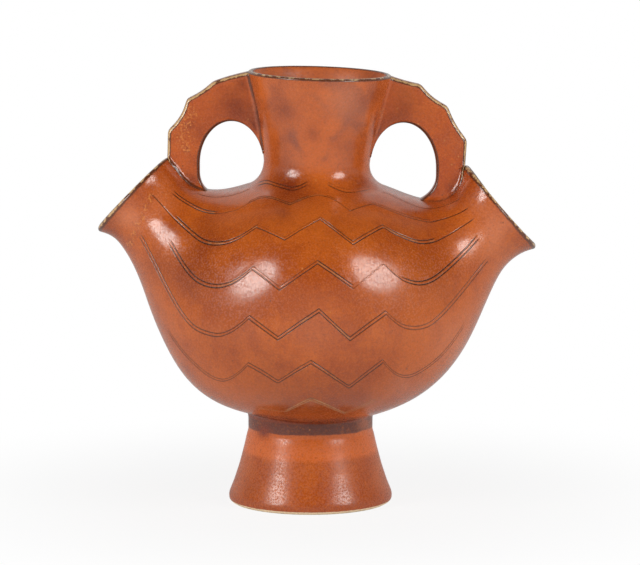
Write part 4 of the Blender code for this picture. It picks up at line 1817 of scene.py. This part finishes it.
@dataclass(frozen=True)
class GlazeFinish:
    """The satin iron-red glaze, with what differs from piece to piece.

    A range is where a soft step starts and ends, of noise, of a mesh value or of the height in metres.
    """

    name: str
    warm: Colour = (0.580, 0.122, 0.014)
    deep: Colour = (0.420, 0.076, 0.010)
    freckle: Colour = (0.20, 0.038, 0.012)
    ember: Colour = (0.66, 0.17, 0.018)
    # dim and bright are blended in by the tone clouds: darker and paler glaze, and also painted shade and
    # painted reflections. dim also darkens the crawl.
    dim: Colour = (0.21, 0.029, 0.007)
    bright: Colour = (0.74, 0.235, 0.105)
    pale_speck: Colour = (0.66, 0.28, 0.09)
    dark_speck: Colour = (0.09, 0.028, 0.016)
    patch: Colour = (0.27, 0.068, 0.036)
    cut: Colour = (0.026, 0.009, 0.004)
    # Comb lines below the cut heights are drawn in this pale colour instead of dark.
    pale_low_cut: Colour = (0.72, 0.44, 0.20)
    glint: Colour = (0.56, 0.28, 0.11)
    fleck: Colour = (0.72, 0.24, 0.055)
    edge_dark: Colour = (0.092, 0.030, 0.013)
    # Cream on the edges and lips, where the glaze breaks pale; along the rounded slab edges it is also a
    # painted highlight. The crawl's pale flecks take it too.
    cream_and_edge_highlight: Colour = (0.66, 0.42, 0.20)
    patches: float = 0.0
    freckles: float = 0.36
    roughness: float = 0.125
    refraction: float = 1.58
    matt_specks: float = 0.27
    cream: float = 0.0
    peel_millimetres: float = 0.035
    wave_millimetres: float = 0.03
    cut_millimetres: float = 0.10
    blister_millimetres: float = 0.25
    zones: FootZones | None = None
    meets: "GlazeFinish | None" = None
    tone_range: Range = (0.40, 0.62)
    meeting_heights: Range = (0.208, 0.226)
    patch_range: Range = (0.54, 0.70)
    patch_heights: Range = (0.216, 0.232)
    freckle_range: Range = (0.48, 0.78)
    satin_range: Range = (0.45, 0.62)
    cut_heights: Range = (0.079, 0.083)
    cream_range: Range = (0.86, 1.02)
    cream_noise: float = 1.5
    dark_specks: Specks = Specks(210.0, 0.13, 0.08, 0.75)
    pale_specks: Specks = Specks(230.0, 0.16, 0.14, 0.65)
    worn_dark: Fray = Fray(0.5, 0.10, 0.45, 0.88)
    crawl_flecks: Fray = Fray(2.2, 0.46, 0.64, 0.80)
    crawl_cream: Fray = Fray(2.0, 0.95, 1.20, 0.80)

    def build(self, comb: Comb) -> Material:
        """Make the material.

        Args:
            comb: The comb whose lines the glaze fills.

        Returns:
            The material.
        """
        material = bpy.data.materials.new(self.name)
        material.use_nodes = True
        bench = Bench(material.node_tree)
        place = bench.coordinates("Object")
        height = bench.axis(place, "Z")
        middle, small, grain, ragged, blister = (
            bench.noise(place, noise) for noise in (MIDDLE, SMALL, GRAIN, RAGGED, BLISTERED)
        )
        tone = 0.50 * bench.noise(place, BROAD) + 0.34 * middle + 0.16 * small
        colour = self._ground(bench, place, height, tone)

        # The tone clouds: glaze tone, painted shade and painted reflections.
        shade = bench.value_of(Layer.TONE) * (0.7 + 0.6 * middle)
        distance, strength = bench.value_of(Layer.COMB_DISTANCE), bench.value_of(Layer.COMB_STRENGTH)
        line = (1.0 - abs(distance - comb.tooth_offset).step(0.22, comb.half_line + 0.14)) * strength
        cut = bench.blend(height.step(*self.cut_heights), self.pale_low_cut, self.cut)
        ridge = (1.0 - distance.step(0.25, 0.65)) * strength.step(0.75, 0.95) * middle.step(0.50, 0.62)
        crawl, worn = bench.value_of(Layer.CRAWL), bench.value_of(Layer.EDGE)
        cream = worn + self.cream_noise * (ragged - 0.5) + self.cream
        for share, over in (
            (shade * -1.0, self.dim),
            (shade, self.bright),
            (grain.step(*self.freckle_range) * self.freckles, self.freckle),
            ((1.0 - grain).step(*self.freckle_range) * self.freckles, self.ember),
            (bench.specks(place, self.dark_specks), self.dark_speck),
            (bench.specks(place, self.pale_specks), self.pale_speck),
            (line * 0.97, cut),
            (ridge * 0.5, self.glint),
            (crawl.step(0.20, 0.80) * 0.55, self.dim),
            (self._frayed(crawl, blister, self.crawl_flecks), self.fleck),
            (self._frayed(crawl, blister, self.crawl_cream), self.cream_and_edge_highlight),
            (self._frayed(worn, ragged, self.worn_dark), self.edge_dark),
            # Cream along the edges: pale glaze break, and on the slabs a painted highlight.
            (cream.step(*self.cream_range), self.cream_and_edge_highlight),
        ):
            colour = bench.blend(share, colour, over)

        matt = self.matt_specks * bench.noise(place, SATIN).step(*self.satin_range)
        roughness = self.roughness + matt + 0.10 * (small - 0.5) + 0.06 * line
        ripple = self.wave_millimetres * bench.noise(place, RIPPLED)
        peel = self.peel_millimetres * bench.noise(place, PEELED)
        blisters = self.blister_millimetres * crawl.step(0.1, 0.8) * blister
        relief = ripple + peel - self.cut_millimetres * line + blisters
        bare, bare_roughness = bench.value_of(Layer.BARE), 0.35
        if self.zones is not None:
            zones, bare_roughness = self.zones, 0.5
            wavering = height + zones.clay_waver * (ragged - 0.5)
            glazed = wavering.step(zones.clay_top - zones.clay_soft, zones.clay_top + zones.clay_soft)
            bare = (1.0 - glazed).larger(bare)
            clay = bench.blend(grain.step(*zones.grit_range), zones.clay, zones.grit)
            colour = bench.blend(bare, colour, clay)
        roughness = roughness + bare_roughness * bare
        bump = bench.add("ShaderNodeBump", None, {"Distance": MILLIMETRE, "Height": relief, "Strength": 1.0})
        shader = material.node_tree.nodes["Principled BSDF"]
        shader.inputs["IOR"].default_value = self.refraction
        for name, signal in (("Base Color", colour), ("Roughness", roughness), ("Normal", bump)):
            material.node_tree.links.new(signal.socket, shader.inputs[name])
        return material

    @staticmethod
    def _frayed(value: Signal, noise: Signal, fray: Fray) -> Signal:
        """A value's frayed share of the colour."""
        return (value + fray.noise * (noise - 0.5)).step(fray.low, fray.high) * fray.amount

    def _ground(self, bench: Bench, place: Signal, height: Signal, tone: Signal) -> Signal:
        """The colour under the clouds, freckles and wear."""
        if self.zones is not None:
            return self._zoned(bench, place, height, tone)
        colour = bench.blend(tone.step(*self.tone_range), self.warm, self.deep)
        if self.meets is not None:
            below = bench.blend(tone.step(*self.tone_range), self.meets.warm, self.meets.deep)
            colour = bench.blend(height.step(*self.meeting_heights), below, colour)
        if self.patches > 0.0:
            cloud = bench.noise(place, PATCHY).step(*self.patch_range)
            colour = bench.blend(cloud * height.step(*self.patch_heights) * self.patches, colour, self.patch)
        return colour

    def _zoned(self, bench: Bench, place: Signal, height: Signal, tone: Signal) -> Signal:
        """The foot's colour by height: dark band, then light, then deeper below."""
        zones = self.zones
        uneven = bench.noise(place, UNEVEN)
        wavering = height + zones.waver * (uneven - 0.5)
        lower = bench.blend(tone.step(*self.tone_range), zones.lower, self.deep)
        colour = bench.blend(height.step(*zones.rim_heights), zones.rim, lower)
        band = bench.blend(uneven.step(*zones.band_range) * zones.band_mottle, zones.band, zones.above)
        for border, soft, over in (
            (zones.tone_step, zones.soft, zones.upper),
            (zones.band_bottom, zones.crisp, band),
            (zones.band_top, zones.crisp, zones.above),
        ):
            colour = bench.blend(wavering.step(border - soft, border + soft), colour, over)
        return colour


@dataclass(frozen=True)
class Softbox:
    """A soft oval lamp aimed at the belly; its azimuth is 0 in front and grows towards +X."""

    name: str
    azimuth: float
    elevation: float
    distance: float
    size: float
    power: float
    tallness: float = 1.22
    colour: Colour = (1.0, 0.985, 0.965)

    def build(self, target: Vector) -> None:
        """Put the lamp in the scene, aimed at a target."""
        data = bpy.data.lights.new(self.name, "AREA")
        data.shape = "ELLIPSE"
        data.size = self.size
        data.size_y = self.size * self.tallness
        data.energy = self.power
        data.color = self.colour
        bearing, rise = math.radians(self.azimuth), math.radians(self.elevation)
        reach = math.cos(rise)
        way = Vector((math.sin(bearing) * reach, -math.cos(bearing) * reach, math.sin(rise)))
        aimed(self.name, data, target + way * self.distance, -way)


@dataclass
class Studio:
    """The white studio: two softboxes, a pale floor and a pale surround that is darker at the camera.

    The floor is drawn nearly white under the vase and quite white beyond its range, in metres. The fill is
    the surround's brightness behind the vase; it keeps its front share at the camera and fades overhead.
    The glaze mirrors less of it, and a low bright rim behind the vase. The surround's ranges are of the
    direction's Y or Z.
    """

    floor_size: float = 16.0
    floor_grey: float = 0.86
    floor_roughness: float = 0.8
    floor_gloss: float = 0.3
    floor_white: float = 0.87
    floor_range: Range = (0.08, 0.34)
    fill: float = 1.39
    front_share: float = 0.52
    front_range: Range = (-0.6, 0.5)
    top_fade: float = 0.96
    top_range: Range = (0.05, 0.45)
    gloss_fade: float = 0.35
    rim_gloss: float = 0.6
    rim_depths: Range = (0.2, 0.9)
    rim_heights: Range = (0.0, 0.3)
    lamps: tuple[Softbox, ...] = (
        Softbox("left_softbox", -52.5, 22.0, 1.25, 0.51, 8.0),
        Softbox("right_softbox", 51.5, 26.5, 1.25, 0.54, 7.6),
    )
    target: Vector = field(default_factory=lambda: Vector((0.0, 0.0, 0.15)))

    def build(self) -> None:
        """Set the lamps, the floor, the surround and the view."""
        for lamp in self.lamps:
            lamp.build(self.target)
        self._floor()
        self._surround()
        bpy.context.scene.view_settings.view_transform = "Standard"

    def _floor(self) -> None:
        """A wide pale floor that shows white to the camera but keeps the vase's shadow."""
        mesh = bmesh.new()
        bmesh.ops.create_grid(mesh, x_segments=2, y_segments=2, size=0.5 * self.floor_size)
        data = bpy.data.meshes.new("floor")
        mesh.to_mesh(data)
        mesh.free()
        material = bpy.data.materials.new("pale_floor")
        material.use_nodes = True
        tree = material.node_tree
        bench = Bench(tree)
        shader = tree.nodes["Principled BSDF"]
        shader.inputs["Base Color"].default_value = (self.floor_grey, self.floor_grey, self.floor_grey, 1.0)
        shader.inputs["Roughness"].default_value = self.floor_roughness
        place = bench.coordinates("Object")
        away = bench.add("ShaderNodeVectorMath", {"operation": "LENGTH"}, {0: place}, "Value")
        white = bench.add("ShaderNodeEmission", None, {"Color": (1.0, 1.0, 1.0), "Strength": 1.0})
        seen = bench.ray("Camera") + self.floor_gloss * bench.ray("Glossy")
        share = seen * (self.floor_white + (1.0 - self.floor_white) * away.step(*self.floor_range))
        own = Signal(bench, shader.outputs[0])
        mixed = bench.add("ShaderNodeMixShader", None, {0: share, 1: own, 2: white})
        tree.links.new(mixed.socket, tree.nodes["Material Output"].inputs["Surface"])
        data.materials.append(material)
        linked("floor", data)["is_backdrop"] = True

    def _surround(self) -> None:
        """White to the camera, and a soft fill that is brighter behind the vase than at the camera."""
        world = bpy.data.worlds.new("surround")
        bpy.context.scene.world = world
        world.use_nodes = True
        bench = Bench(world.node_tree)
        way = bench.coordinates("Generated")
        depth, rise = bench.axis(way, "Y"), bench.axis(way, "Z")
        camera, glossy = bench.ray("Camera"), bench.ray("Glossy")
        behind = (1.0 - self.front_share) * depth.step(*self.front_range) * (1.0 - glossy)
        level = self.fill * (self.front_share + behind) * (1.0 - self.top_fade * rise.step(*self.top_range))
        rim = self.rim_gloss * glossy * depth.step(*self.rim_depths) * rise.step(*self.rim_heights)
        strength = camera + (1.0 - camera) * (level * (1.0 - self.gloss_fade * glossy) + rim)
        backdrop = world.node_tree.nodes["Background"]
        backdrop.inputs["Color"].default_value = (1.0, 1.0, 1.0, 1.0)
        world.node_tree.links.new(strength.socket, backdrop.inputs["Strength"])


def write_sizes() -> None:
    """Log the box of the solids and the box of the dressed vase."""
    boxes = {
        name: [list(corner) for corner in box] for name, box in (("cad", CAD_BOX), ("visual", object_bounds()))
    }
    LOG.info("sizes: %s", boxes)


def main() -> None:
    """Build the studio and the vase."""
    logging.basicConfig(level=logging.INFO, format="%(message)s")
    camera = PhotoCamera()
    camera.build()
    Studio().build()
    skin, comb = Skin(), Comb()
    belly_finish = GlazeFinish("belly_glaze")
    body_glaze = belly_finish.build(comb)
    neck_glaze = GlazeFinish(
        "neck_glaze", warm=(0.66, 0.148, 0.026), deep=(0.50, 0.104, 0.018), patches=0.75, cream=-0.04,
        meets=belly_finish,
    ).build(comb)
    # The slabs' raised cream share spreads the cream edge into a painted highlight along their rounded edges.
    handle_glaze = GlazeFinish(
        "slab_glaze", warm=(0.62, 0.130, 0.018), deep=(0.46, 0.084, 0.014), freckles=0.34, patches=0.35,
        cream=0.13,
    ).build(comb)
    foot = Foot(skin)
    front = -foot.collar_radius
    zones = FootZones(
        band_top=camera.height_at(424.5, front),
        band_bottom=camera.height_at(436.0, front),
        tone_step=camera.height_at(461.0, front - 2.0 * MILLIMETRE),
    )
    foot_glaze = GlazeFinish(
        "foot_glaze", zones=zones, freckles=0.4, roughness=0.25, wave_millimetres=0.015,
    ).build(comb)

    BellyShell(skin, camera, comb).build(body_glaze)
    neck = Neck(skin, camera)
    neck.build(neck_glaze)
    foot.build(foot_glaze)
    Handle(
        skin, neck, Side.LEFT, post_width=0.0208, hole_top=0.0268, arch_rise=0.0278,
        tips=((0.695, 0.884, -0.020), (0.870, 0.682, 0.050), (0.995, 0.317, 0.090)),
    ).build(handle_glaze)
    Handle(
        skin, neck, Side.RIGHT, post_width=0.0187, hole_top=0.0258, arch_rise=0.0298,
        tips=((0.700, 0.912, 0.020), (0.882, 0.664, 0.070), (1.011, 0.283, 0.050)),
        root_flare=0.0105, flare_height=0.0150, root_share=0.55, seat_beyond=0.0014, crease_darkening=0.30,
    ).build(handle_glaze)
    write_sizes()


if __name__ == "__main__":
    main()
